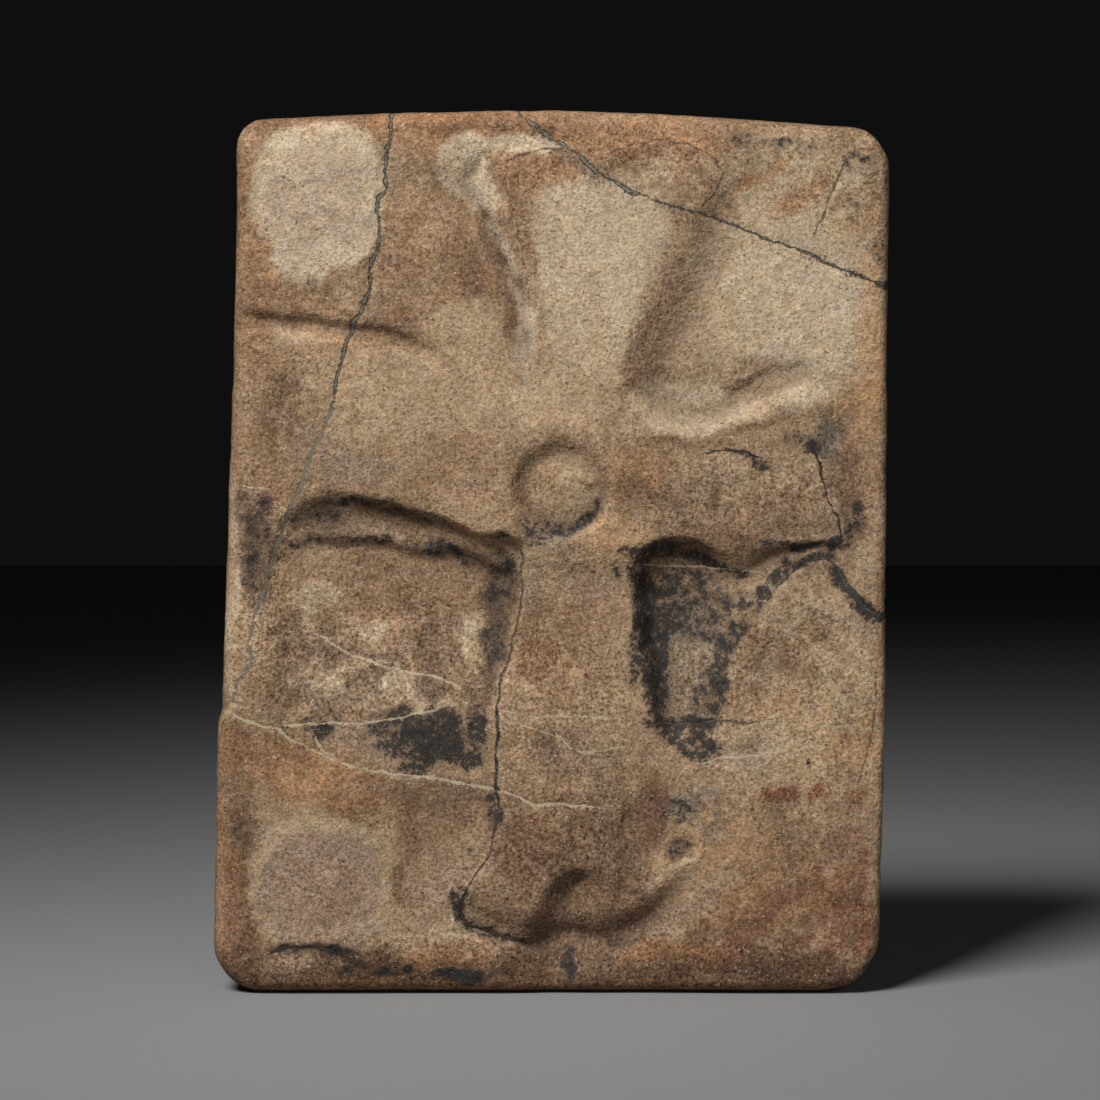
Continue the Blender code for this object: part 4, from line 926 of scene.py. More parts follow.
# Soot, with some painted shadow under the arms and along the lower right hollow's wall, where the strongest
# patch counts
SOOT_AND_SHADOW = (
    Patch(-38, 68, 7, 3.6, 0.75),
    Patch(-31, 63, 11, 6.4, 1.0),
    Patch(-26, 68, 4.4, 5.4, 0.95),
    Patch(-18, 66, 2.6, 7, 0.8),
    Patch(-24, 60, 7, 3, 0.85),
    Patch(-57, 66, 2.4, 2.6, 1.0),
    Patch(-61, 68, 3, 1.6, 0.4),
    Patch(-11, 104, 3.2, 7, 0.6, turn=-6, broken=0.3),
    Patch(-13, 109, 4, 2.4, 0.4, broken=0.3),
    Patch(-13.5, 88, 3, 9, 0.6, turn=-12, broken=0.3),
    Patch(-74, 111, 3, 13, 0.45, broken=0.5),
    Patch(-70.5, 122, 1.6, 3, 0.5),
    Patch(-63, 86, 4, 3, 0.3),
    Patch(-13.8, 48, 2, 6, 0.75),
    # These three ovals on the lower right hollow's left wall are soot and painted shade together.
    Patch(23.5, 99, 3.6, 9, 1.05),
    Patch(25.5, 87, 4, 12, 1.0),
    Patch(27.5, 76, 3.4, 6, 1.0),
    Patch(27, 112.2, 8, 2.4, 0.85, turn=6),
    Patch(38, 109, 8, 2, 0.85, turn=-16),
    Patch(33, 101, 8, 6, 0.66),
    Patch(40, 97, 7, 5, 0.5, turn=-30),
    Patch(39, 92, 4.4, 4, 0.55),
    Patch(31, 94, 5, 6, 0.7),
    Patch(45.5, 89, 2.8, 6, 0.75, turn=-32),
    Patch(42.4, 80, 2.8, 7, 0.68, turn=-12),
    Patch(39, 73, 3.6, 4, 0.62),
    Patch(33, 68.3, 9, 1.6, 1.0),
    Patch(28, 73, 3.4, 4, 0.7),
    Patch(38, 63, 5, 4.4, 0.85),
    Patch(31, 65, 4, 2, 0.65),
    Patch(46, 106.5, 5, 1.2, 0.7, turn=-15),
    Patch(53, 100, 1.8, 2.6, 0.95, turn=30),
    Patch(56, 104, 2.4, 2.4, 0.8),
    Patch(50, 98, 4, 4, 0.4),
    Patch(59, 106, 2, 3, 0.6),
    Patch(62, 108.5, 4, 1.4, 0.95, turn=20),
    Patch(69.5, 109.5, 4, 1.4, 0.95),
    Patch(74, 103.5, 1.8, 3.4, 1.0, turn=35),
    Patch(78.5, 98, 2.2, 4, 1.1, turn=45),
    Patch(82.5, 95, 3, 1.4, 1.0),
    Patch(74, 117, 2, 6, 0.5),
    Patch(77.5, 120, 2.4, 4, 0.65),
    Patch(64.5, 138.8, 2.4, 2.2, 1.05),
    Patch(61, 141, 3, 2, 0.45),
    Patch(50, 136, 6, 1.2, 0.5),
    Patch(52.5, 134, 2.5, 1, 0.7),
    # These two ovals are painted shadow under the right arm's outer half.
    Patch(62, 113.2, 8, 1.3, 0.95, edge=0.4),
    Patch(71, 112.5, 2, 2, 0.95),
    # These five soot lines under the left arm are partly painted shade under its overhang.
    Patch(-47, 124.3, 8, 1.4, 0.65, turn=-3, edge=0.5),
    Patch(-33, 120, 10, 1.3, 0.4, turn=-15),
    Patch(-12, 116.5, 2.4, 1.6, 0.75, turn=15),
    Patch(-56, 120.6, 5, 1.3, 0.6, turn=6),
    Patch(-61, 114, 7, 1.2, 0.5, turn=12),
    Patch(-27, 111.5, 8, 2, 0.6, turn=-8),
    Patch(-44, 113.5, 6, 1.8, 0.4, broken=0.3),
    Patch(-49, 113.5, 9, 1, 0.4),
    Patch(1, 117.2, 8, 2.2, 0.66),
    Patch(9, 119.5, 3.6, 1.4, 0.7, turn=35),
    Patch(12.5, 124, 0.8, 4, 0.5, turn=-20),
    Patch(-5, 119.5, 3, 2, 0.5),
    Patch(-3.5, 113.5, 2.5, 0.7, 0.9),
    Patch(17.5, 105.8, 0.8, 1.6, 1.1, turn=20),
    Patch(60, 213, 9, 0.9, 0.36, turn=-3),
    Patch(78, 210.5, 4, 1.4, 0.5, turn=-15),
    Patch(74, 208, 1.6, 2.4, 0.42),
    Patch(81.5, 188, 1.4, 5, 0.4),
    Patch(83.5, 178, 2.2, 1.6, 0.95),
    Patch(67.5, 185, 4.5, 1.2, 0.42, turn=-25),
    Patch(76, 180.5, 4, 1.2, 0.45, turn=-20),
    Patch(48, 215.5, 3, 2, 0.42),
    Patch(-42, 5.6, 3.4, 1.4, 0.75),
    Patch(-36, 7, 1.8, 1.8, 0.9),
    Patch(-23, 5, 8, 1.8, 1.05),
    Patch(5.3, 6.4, 1.5, 3.8, 0.8),
    Patch(-51, 6.4, 3, 1.6, 0.4),
    Patch(33.5, 37.8, 3.4, 1.8, 0.6, turn=12),
    Patch(33, 46, 5, 3, 0.4),
    Patch(63.8, 58, 0.6, 0.6, 1.3),
    Patch(-23, 22, 1.6, 2.6, 0.95),
    Patch(-20.5, 18, 2.4, 1.8, 0.8, turn=-40, broken=0.3),
    Patch(-15.5, 15.9, 4, 1.3, 0.8, turn=-18, broken=0.3),
    Patch(-9, 14, 3, 1, 0.75, turn=-12, broken=0.3),
    Patch(-20, 24.5, 1.4, 2.4, 0.5, turn=30),
    Patch(-66, 11.9, 5, 1.1, 0.85, turn=10, broken=0.3),
    Patch(-56, 11.6, 5, 1.1, 0.85, turn=-10, broken=0.3),
    Patch(-50, 9, 2, 1, 0.4, turn=-40, broken=0.3),
    Patch(-78.5, 40, 2.6, 3, 0.4, broken=0.5),
    # Soot and painted shade along the lower right hollow's left wall.
    Patch(22, 93, 2.4, 16, 0.8, turn=-6),
)

# Places where the sand grain is stronger
GRIT = (
    Patch(-45, 84, 36, 20, 0.5),
    Patch(-72, 112, 8, 22, 0.45),
    Patch(60, 72, 26, 26, 0.35),
    Patch(35, 90, 13, 22, 0.45),
    Patch(4, 58, 16, 34, 0.35),
    Patch(0, 28, 30, 20, 0.25),
    Patch(0, 6, 84, 10, 0.5),
    Patch(50, 126, 28, 10, 0.35),
    Patch(70, 205, 18, 14, 0.25),
    Patch(10, 210, 34, 7, 0.3),
)


@dataclass(frozen=True)
class StoneFinish:
    """How sandstone looks: its speckle, marks and gloss.

    Sizes are in millimetres, colours as they look, from 0 to 255, and a drift is
    how far a random field shifts red, green and blue.
    """

    fine_size: float = 0.9
    fine_contrast: float = 1.7
    grain_size: float = 3.4
    grain_contrast: float = 0.85
    drift_size: float = 14.0
    drift_contrast: float = 0.45
    speck_size: float = 0.75
    speck_level: float = 0.64
    pale_speck_level: float = 0.68
    line_fill: tuple[float, float, float] = (118, 115, 100)
    branch_fill: tuple[float, float, float] = (84, 62, 52)
    line_edge: tuple[float, float, float] = (44, 42, 40)
    vein_fill: tuple[float, float, float] = (198, 182, 150)
    # Colour of soot, also used for painted shadow.
    soot_and_shadow: tuple[float, float, float] = (42, 44, 45)
    deep_soot_and_shadow: tuple[float, float, float] = (22, 24, 25)
    dark_speck: tuple[float, float, float] = (52, 42, 36)
    pale_speck: tuple[float, float, float] = (222, 208, 184)
    # Colour of dirt and painted shade in the carving's hollows.
    hollow_dirt_and_shade: tuple[float, float, float] = (88, 68, 52)
    slow_drift: tuple[float, float, float] = (8, 6, 4)
    quick_drift: tuple[float, float, float] = (9, 8, 7)
    roughness: float = 0.88
    bump_distance: float = 0.8


@dataclass
class Slab:
    """The slab's outline and edges, in millimetres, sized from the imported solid's box."""

    low: Vector
    high: Vector
    spill: float = 0.7
    left_lean: float = 5.5
    left_break: float = 0.8
    left_break_height: float = 71.0
    right_lean: float = 0.5
    right_foot_lean: float = 1.5
    right_foot_reach: float = 80.0
    top_sag_left: float = 2.6
    top_sag_right: float = 5.0
    corner_radii: tuple[float, float, float, float] = (6.5, 10.0, 12.5, 15.5)
    edge_across: float = 4.5
    edge_depth: float = 5.0
    foot_across: float = 3.0
    foot_depth: float = 8.0
    foot_reach: float = 12.0
    back_radius: float = 4.0
    edge_wear: float = 0.35
    crisp_right: float = 0.45

    @property
    def width(self) -> float:
        """The slab's width in millimetres, with the little that its worn rim spills past the solid."""
        return (self.high.x - self.low.x) / MM + 2 * self.spill

    @property
    def height(self) -> float:
        """The slab's height in millimetres."""
        return (self.high.z - self.low.z) / MM

    @property
    def thickness(self) -> float:
        """The slab's thickness in millimetres."""
        return (self.high.y - self.low.y) / MM

    def grid_lines(self, length: float, steps: int, edge_rows: int) -> np.ndarray:
        """Space lines along a length, close together within its rounded ends as on a quarter circle.

        Args:
            length: length to divide.
            steps: number of gaps in all.
            edge_rows: gaps within each rounded end.

        Returns:
            The lines' places from 0 to length.
        """
        turn = np.linspace(0, np.pi / 2, edge_rows + 1)
        edge = self.edge_across * (1.0 - np.cos(turn))
        middle = np.linspace(self.edge_across, length - self.edge_across, steps - 2 * edge_rows + 1)
        return np.concatenate((edge[:-1], middle, (length - edge[:-1])[::-1]))

    def place(self, across: np.ndarray, up: np.ndarray) -> tuple[np.ndarray, np.ndarray]:
        """Bend a plain rectangle into the slab's outline.

        In each corner block a point keeps its greater offset as its distance from
        the corner's centre. Then the left side leans in towards the top and is
        broken back above one height, the right side draws in towards the foot,
        and the top sags to both ends.

        Args:
            across: places across the rectangle, from its middle.
            up: places up the rectangle.

        Returns:
            Places across and up on the slab.
        """
        corners = ((-1, 1), (1, 1), (-1, -1), (1, -1))
        for (side, end), radius in zip(corners, self.corner_radii):
            centre_x = side * (self.width / 2 - radius)
            centre_z = self.height / 2 + end * (self.height / 2 - radius)
            out_x = side * (across - centre_x)
            out_z = end * (up - centre_z)
            inside = (out_x > 0) & (out_z > 0)
            pull = np.where(inside, np.maximum(out_x, out_z) / np.maximum(np.hypot(out_x, out_z), 1e-6), 1.0)
            across = np.where(inside, centre_x + side * out_x * pull, across)
            up = np.where(inside, centre_z + end * out_z * pull, up)
        share = across / (self.width / 2)
        lean = self.left_lean * ease(0, self.height, up)
        lean = lean + self.left_break * ease(self.left_break_height - 2, self.left_break_height + 2, up)
        right = self.right_lean * ease(self.height, self.right_foot_reach, up)
        right = right + self.right_foot_lean * ease(self.right_foot_reach, 0, up)
        moved = across + lean * past(-share) - right * past(share)
        sag_left = self.top_sag_left * past(-share) ** 2
        sag_right = self.top_sag_right * past(share) ** 1.5
        sag = np.where(share < 0, sag_left, sag_right)
        return moved, up * (1.0 - sag / self.height)

    def from_edge(self, across: np.ndarray, up: np.ndarray) -> np.ndarray:
        """Give the distance in from the nearest side of a rectangle as large as the slab."""
        return np.minimum(self.width / 2 - np.abs(across), np.minimum(up, self.height - up))

    def inset(self, across: np.ndarray, up: np.ndarray, by: float) -> tuple[np.ndarray, np.ndarray]:
        """Shrink places on the plain rectangle's rim towards its middle, keeping them on a ring.

        Args:
            across: places across the rectangle.
            up: places up the rectangle.
            by: how far in the ring lies.

        Returns:
            Places across and up on the smaller ring.
        """
        middle = self.height / 2
        return across * (1.0 - 2 * by / self.width), middle + (up - middle) * (1.0 - 2 * by / self.height)

    def outward(self, across: np.ndarray, up: np.ndarray) -> tuple[np.ndarray, np.ndarray]:
        """Point out of the slab's outline: from a ring a little further in to the given one.

        Args:
            across: places across the rectangle.
            up: places up the rectangle.

        Returns:
            The two parts of a unit arrow at each place.
        """
        outer_x, outer_z = self.place(across, up)
        inner_x, inner_z = self.place(*self.inset(across, up, 0.5))
        length = np.maximum(np.hypot(outer_x - inner_x, outer_z - inner_z), 1e-6)
        return (outer_x - inner_x) / length, (outer_z - inner_z) / length

    def edge_drop(self, across: np.ndarray, up: np.ndarray, from_edge: np.ndarray) -> np.ndarray:
        """Give how far the face's rounded edge falls back, as a quarter ellipse.

        It is deeper along the foot and crisper along the right side.

        Args:
            across: places across the rectangle.
            up: places up the rectangle.
            from_edge: distance in from the rectangle's rim.

        Returns:
            The fall back at each place.
        """
        foot = ease(self.foot_reach, 0, up)
        right = self.crisp_right * ease(self.width / 2 - 12, self.width / 2 - 4, across)
        across = (self.edge_across + (self.foot_across - self.edge_across) * foot) * (1.0 - right)
        depth = (self.edge_depth + (self.foot_depth - self.edge_depth) * foot) * (1.0 - right)
        short = np.clip(1.0 - from_edge / across, 0.0, 1.0)
        return depth * (1.0 - np.sqrt(1.0 - short**2))


def wandered(places: np.ndarray, reach: float, across: Noise, up: Noise) -> tuple[np.ndarray, np.ndarray]:
    """Move places across and up by random fields, so that lines and borders turn out worn.

    Args:
        places: rows of across, back and up, in millimetres.
        reach: how far a field's 1 moves a place.
        across: field for the move across.
        up: field for the move up.

    Returns:
        The moved places across and up.
    """
    return places[:, 0] + reach * across.at(places), places[:, 2] + reach * up.at(places)


def rim_of(columns: int, rows: int) -> np.ndarray:
    """List a grid's rim, from its lower left corner to the right and round.

    Args:
        columns: gaps across the grid.
        rows: gaps up the grid.

    Returns:
        The numbers of the rim's corners, where rows of columns + 1 follow each other.
    """
    wide = columns + 1
    bottom = np.arange(columns)
    right = np.arange(rows) * wide + columns
    top = rows * wide + np.arange(columns, 0, -1)
    left = np.arange(rows, 0, -1) * wide
    return np.concatenate((bottom, right, top, left))


def grid_faces(columns: int, rows: int) -> np.ndarray:
    """List a grid's four-cornered faces, turned towards the carved side.

    Args:
        columns: gaps across the grid.
        rows: gaps up the grid.

    Returns:
        One row of four corner numbers for each face.
    """
    start = (np.arange(rows)[:, None] * (columns + 1) + np.arange(columns)).ravel()
    return np.stack((start, start + 1, start + columns + 2, start + columns + 1), axis=1)


def blurred(level: np.ndarray, reach: int) -> np.ndarray:
    """Blur a grid by three running means along both of its directions.

    Args:
        level: the grid's values.
        reach: grid steps to each side in one mean.

    Returns:
        The blurred values.
    """
    for axis in (0, 1, 0, 1, 0, 1):
        widths = [(0, 0), (0, 0)]
        widths[axis] = (reach + 1, reach)
        sums = np.cumsum(np.pad(level, widths, mode="edge"), axis=axis)
        count = level.shape[axis]
        after = np.take(sums, np.arange(2 * reach + 1, 2 * reach + 1 + count), axis=axis)
        before = np.take(sums, np.arange(count), axis=axis)
        level = (after - before) / (2 * reach + 1)
    return level


@dataclass
class Plaque:
    """The whole stone: a carved front grid, sides in rings and a coarser back grid, in one mesh.

    wander moves the carving, shake the lines and ragged the stains' borders, all
    in millimetres.
    """

    slab: Slab
    carving: Carving = field(default_factory=Carving)
    finish: StoneFinish = field(default_factory=StoneFinish)
    columns: int = 224
    rows: int = 296
    edge_rows: int = 6
    side_rows: int = 9
    back_rows: int = 5
    crown: float = 0.8
    crown_reach: float = 14.0
    wander: float = 0.5
    shake: float = 0.35
    ragged: float = 1.6
    hollow_reach: int = 5

    def build(self) -> bpy.types.Object:
        """Build the stone and put it in the scene.

        Returns:
            The finished object, at the origin, with its marks as attributes.
        """
        flat_x, flat_z, back, on_face = self._plan()
        x, z = self.slab.place(flat_x, flat_z)
        front_count = (self.columns + 1) * (self.rows + 1)
        front = slice(front_count)
        back[front] = self._front_depth(flat_x[front], flat_z[front], x[front], z[front])
        back = self._join_sides(back, front_count)
        x, z, back = self._wear(flat_x, flat_z, x, z, back, on_face)
        places = np.stack((x, back, z), axis=1)
        mesh = self._mesh(places)
        self._mark(mesh, places, on_face, front_count)
        piece = bpy.data.objects.new("weathered_plaque", mesh)
        bpy.context.scene.collection.objects.link(piece)
        mesh.materials.append(Sandstone(self.finish).build())
        return piece

    def _plan(self) -> tuple[np.ndarray, np.ndarray, np.ndarray, np.ndarray]:
        """Lay out every corner on the plain rectangle: front grid, side rings and back grid.

        Returns:
            Places across and up, depths behind the front, and 1 on the carved face falling to 0 behind it.
        """
        slab = self.slab
        lines_x = slab.grid_lines(slab.width, self.columns, self.edge_rows) - slab.width / 2
        lines_z = slab.grid_lines(slab.height, self.rows, self.edge_rows)
        front_x, front_z = (grid.ravel() for grid in np.meshgrid(lines_x, lines_z))
        rim = rim_of(self.columns, self.rows)
        straight = np.linspace(0, 1, self.side_rows + 1)[1:]
        turns = np.linspace(0, np.pi / 2, self.back_rows + 1)[1:]
        parts = [(front_x, front_z, np.zeros(len(front_x)), np.ones(len(front_x)))]
        for share in straight:
            level = np.full(len(rim), share * (slab.thickness - slab.back_radius))
            parts.append((front_x[rim], front_z[rim], level, np.full(len(rim), max(0.0, 1.0 - 4.0 * share))))
        for turn in turns:
            ring = slab.inset(front_x[rim], front_z[rim], slab.back_radius * (1.0 - math.cos(turn)))
            level = slab.thickness - slab.back_radius * (1.0 - math.sin(turn))
            parts.append((*ring, np.full(len(rim), level), np.zeros(len(rim))))
        back_x, back_z = (grid.ravel() for grid in np.meshgrid(lines_x[::2], lines_z[::2]))
        back_x, back_z = slab.inset(back_x, back_z, slab.back_radius + 1.2)
        parts.append((back_x, back_z, np.full(len(back_x), slab.thickness), np.zeros(len(back_x))))
        return tuple(np.concatenate(column) for column in zip(*parts))

    def _front_depth(self, flat_x: np.ndarray, flat_z: np.ndarray, x: np.ndarray,
                     z: np.ndarray) -> np.ndarray:
        """Give the front's depth: carving, crown towards the rim, worn swell, rounded edge and cracks.

        Args:
            flat_x: places across the plain rectangle.
            flat_z: places up the plain rectangle.
            x: places across the slab.
            z: places up the slab.

        Returns:
            Depth behind the slab's foremost point.
        """
        slab = self.slab
        from_edge = slab.from_edge(flat_x, flat_z)
        here = np.stack((x, np.zeros(len(x)), z), axis=1)
        moved = wandered(here, self.wander, Noise(6.0, 2, seed=31), Noise(6.0, 2, seed=41))
        depth = self.carving.depth(*moved)
        depth += self.crown * ease(self.crown_reach, 0, from_edge)
        depth += 0.45 * Noise(30.0, 2, seed=3).at(here) + 0.10 * Noise(7.0, 2, seed=5).at(here)
        depth += 0.05 * Noise(1.7, 2, 0.9, seed=8).at(here)
        shaken = self._shaken(here)
        for line in (line for line in LINES if line.depth > 0):
            _, nearest, taper = line.measure(*shaken)
            depth += line.depth * taper * bell(nearest, line.width + 0.45)
        depth += slab.edge_drop(flat_x, flat_z, from_edge)
        return depth - depth[from_edge > self.crown_reach].min()

    def _shaken(self, places: np.ndarray) -> tuple[np.ndarray, np.ndarray]:
        """Shake places across and up, alike for the lines' grooves and their colour."""
        return wandered(places, self.shake, Noise(2.6, 2, 0.7, seed=101), Noise(2.6, 2, 0.7, seed=111))

    def _join_sides(self, back: np.ndarray, front_count: int) -> np.ndarray:
        """Spread the straight side rings between the front grid's rim and the back's rounded edge.

        Args:
            back: depths, with the rings' own as if the rim lay at 0.
            front_count: number of corners in the front grid.

        Returns:
            The depths with the rings moved.
        """
        rim = rim_of(self.columns, self.rows)
        end = self.slab.thickness - self.slab.back_radius
        count = self.side_rows * len(rim)
        rings = back[front_count:front_count + count].reshape(self.side_rows, len(rim))
        share = rings / end
        back[front_count:front_count + count] = (back[rim] * (1.0 - share) + end * share).ravel()
        return back

    def _wear(self, flat_x: np.ndarray, flat_z: np.ndarray, x: np.ndarray, z: np.ndarray, back: np.ndarray,
              on_face: np.ndarray) -> tuple[np.ndarray, np.ndarray, np.ndarray]:
        """Wear the outline inwards by a slow random field, and the back a little from behind.

        Args:
            flat_x: places across the plain rectangle.
            flat_z: places up the plain rectangle.
            x: places across the slab.
            z: places up the slab.
            back: depths behind the front.
            on_face: 1 on the carved face, falling to 0 behind it.

        Returns:
            The worn places across and up, and the worn depths.
        """
        slab = self.slab
        here = np.stack((x, back, z), axis=1)
        slow = 0.5 + 0.5 * Noise(13.0, 3, seed=13).at(here)
        amount = slab.edge_wear * slow + 0.12 * Noise(3.5, 2, seed=17).at(here)
        amount = past(amount) * ease(5.0, 0.0, slab.from_edge(flat_x, flat_z)) * ease(0.0, 6.0, flat_z)
        out_x, out_z = slab.outward(flat_x, flat_z)
        behind = ease(slab.thickness - 1.0, slab.thickness, back)
        dressed = past(0.25 + 0.35 * Noise(24.0, 3, seed=19).at(here)) * behind * (1.0 - on_face)
        return x - amount * out_x, z - amount * out_z, back - dressed

    def _mesh(self, places: np.ndarray) -> bpy.types.Mesh:
        """Join all corners into one closed mesh.

        The side rings are joined by four-cornered faces. Behind them, each corner
        of the coarser back grid's rim takes a fan of two triangles to the last
        ring, and one more triangle fills the gap to its neighbour.

        Args:
            places: rows of across, back and up in millimetres.

        Returns:
            The mesh in metres.
        """
        columns, rows = self.columns, self.rows
        rim = rim_of(columns, rows)
        front_count = (columns + 1) * (rows + 1)
        ring_count = self.side_rows + self.back_rows
        starts = front_count + np.arange(ring_count) * len(rim)
        rings = np.vstack((rim, starts[:, None] + np.arange(len(rim))))
        following = np.roll(rings, -1, axis=1)
        sides = np.stack((rings[:-1], rings[1:], following[1:], following[:-1]), axis=2).reshape(-1, 4)
        back_start = front_count + ring_count * len(rim)
        coarse = back_start + rim_of(columns // 2, rows // 2)
        next_coarse = np.roll(coarse, -1)
        last = rings[-1]
        even, odd, before = last[::2], last[1::2], np.roll(last[1::2], 1)
        fans = np.concatenate((np.stack((before, coarse, even), axis=1),
                               np.stack((even, coarse, odd), axis=1),
                               np.stack((odd, coarse, next_coarse), axis=1)))
        back = back_start + grid_faces(columns // 2, rows // 2)[:, ::-1]
        faces = [*grid_faces(columns, rows).tolist(), *sides.tolist(), *fans.tolist(), *back.tolist()]
        mesh = bpy.data.meshes.new("weathered_plaque")
        metres = places * MM + (0.0, self.slab.low.y, 0.0)
        mesh.from_pydata(metres.tolist(), [], faces)
        mesh.shade_smooth()
        return mesh

    def _mark(self, mesh: bpy.types.Mesh, places: np.ndarray, on_face: np.ndarray, front_count: int) -> None:
        """Store the stone's stains and painted light, soot and painted shadow, grit, hollows and lines on the
        mesh's corners.

        Args:
            mesh: mesh to mark.
            places: rows of across, back and up in millimetres.
            on_face: 1 on the carved face, falling to 0 behind it.
            front_count: number of corners in the front grid.
        """
        x, z = wandered(places, self.ragged, Noise(9.0, 4, 0.6, seed=61), Noise(9.0, 4, 0.6, seed=71))
        mottle = ease(-0.45, 0.45, Noise(5.0, 4, 0.7, seed=121).at(places))
        colour = self._stained_and_painted_light(places, x, z, mottle, on_face)
        soot_and_shadow = np.zeros(len(x))
        for patch in SOOT_AND_SHADOW:
            soot_and_shadow = np.maximum(soot_and_shadow, patch.cover(x, z, mottle) * on_face)
        # How far each front corner lies below its blurred surroundings; the material darkens these hollows as
        # dirt and painted shade.
        hollow = np.zeros(len(x))
        front = places[:front_count, 1].reshape(self.rows + 1, self.columns + 1)
        hollow[:front_count] = (front - blurred(front, self.hollow_reach)).ravel()
        self._store(mesh, "stain_and_painted_light", "FLOAT_COLOR", np.column_stack((colour, np.ones(len(x)))))
        grit = 0.8 + 0.55 * ease(0.34, 0.14, colour.mean(axis=1))
        for patch in GRIT:
            grit += patch.cover(x, z, mottle) * on_face
        self._store(mesh, "soot_and_shadow", "FLOAT", soot_and_shadow)
        self._store(mesh, "grit", "FLOAT", grit)
        self._store(mesh, "hollow", "FLOAT", np.clip(hollow, -1.5, 1.5))
        for mark in Mark:
            self._store(mesh, mark.value, "FLOAT_COLOR", self._lines(mark, places, on_face))

    def _stained_and_painted_light(self, places: np.ndarray, x: np.ndarray, z: np.ndarray, mottle: np.ndarray,
                 on_face: np.ndarray) -> np.ndarray:
        """Mix the stone's colour from its patches, over a ground that drifts between tones.

        Some patches paint shade and highlights. The lower rim is then darkened as painted shade under the
        rounded foot, and every worn rim is warmed.

        Args:
            places: rows of across, back and up in millimetres.
            x: ragged places across.
            z: ragged places up.
            mottle: mottled field from 0 to 1.
            on_face: 1 on the carved face, falling to 0 behind it.

        Returns:
            Linear red, green and blue for each corner.
        """
        slow = Noise(34.0, 3, seed=81).at(places)[:, None]
        quick = Noise(11.0, 3, seed=91).at(places)[:, None]
        colour = Tone.TAN.seen + slow * self.finish.slow_drift + quick * self.finish.quick_drift
        rough = ease(0.1, 0.7, slow + 0.5 * quick) * (1.0 - on_face[:, None])
        colour += rough * 0.7 * (Tone.BROWN.seen - colour)
        for patch in STAINS_AND_PAINTED_LIGHT:
            cover = patch.cover(x, z, 1.0 - mottle if patch.tone in (Tone.CREAM, Tone.SAND) else mottle)
            colour += (cover * on_face)[:, None] * (patch.tone.seen - colour)
        # Painted shade along the foot, whose rounded underside faces down; fainter on the sides and back.
        low = ease(14.0, 4.0, places[:, 2] + 3.0 * quick[:, 0]) * (0.4 + 0.6 * on_face)
        colour += 0.9 * low[:, None] * (Tone.EARTH.seen * 0.8 - colour)
        from_edge = self.slab.from_edge(places[:, 0], places[:, 2])
        worn_rim = ease(6.0, 1.0, from_edge + 3.0 * quick[:, 0]) * (0.35 + 0.65 * on_face)
        worn_rim = worn_rim * ease(84.0, 78.0, places[:, 0])
        colour += 0.4 * worn_rim[:, None] * (Tone.ORANGE.seen * 0.93 - colour)
        return linear(tuple(np.moveaxis(np.clip(colour, 0, 255), 1, 0))).T

    def _lines(self, mark: Mark, places: np.ndarray, on_face: np.ndarray) -> np.ndarray:
        """Measure the way to the nearest line of one layer.

        Args:
            mark: the layer.
            places: rows of across, back and up in millimetres.
            on_face: 1 on the carved face, falling to 0 behind it.

        Returns:
            Rows of signed distance, plain distance, half breadth and blackness.
        """
        x, z = self._shaken(places)
        found = np.tile((9.0, 9.0, 0.0, 0.0), (len(x), 1))
        for line in (line for line in LINES if line.mark is mark):
            signed, nearest, taper = line.measure(x, z)
            breadth = line.width * taper * (1.0 if line.through else on_face)
            closer = nearest < found[:, 1]
            black = np.full(len(x), line.black)
            row = np.stack((signed, nearest, np.broadcast_to(breadth, x.shape), black), axis=1)
            found = np.where(closer[:, None], row, found)
        return np.clip(found, -9.0, 9.0)

    def _store(self, mesh: bpy.types.Mesh, name: str, kind: str, values: np.ndarray) -> None:
        """Put values on the mesh's corners.

        Args:
            mesh: mesh to mark.
            name: attribute's name.
            kind: attribute's type.
            values: one value or row for each corner.
        """
        attribute = mesh.attributes.new(name, kind, "POINT")
        attribute.data.foreach_set("value" if kind == "FLOAT" else "color", values.astype(np.float32).ravel())


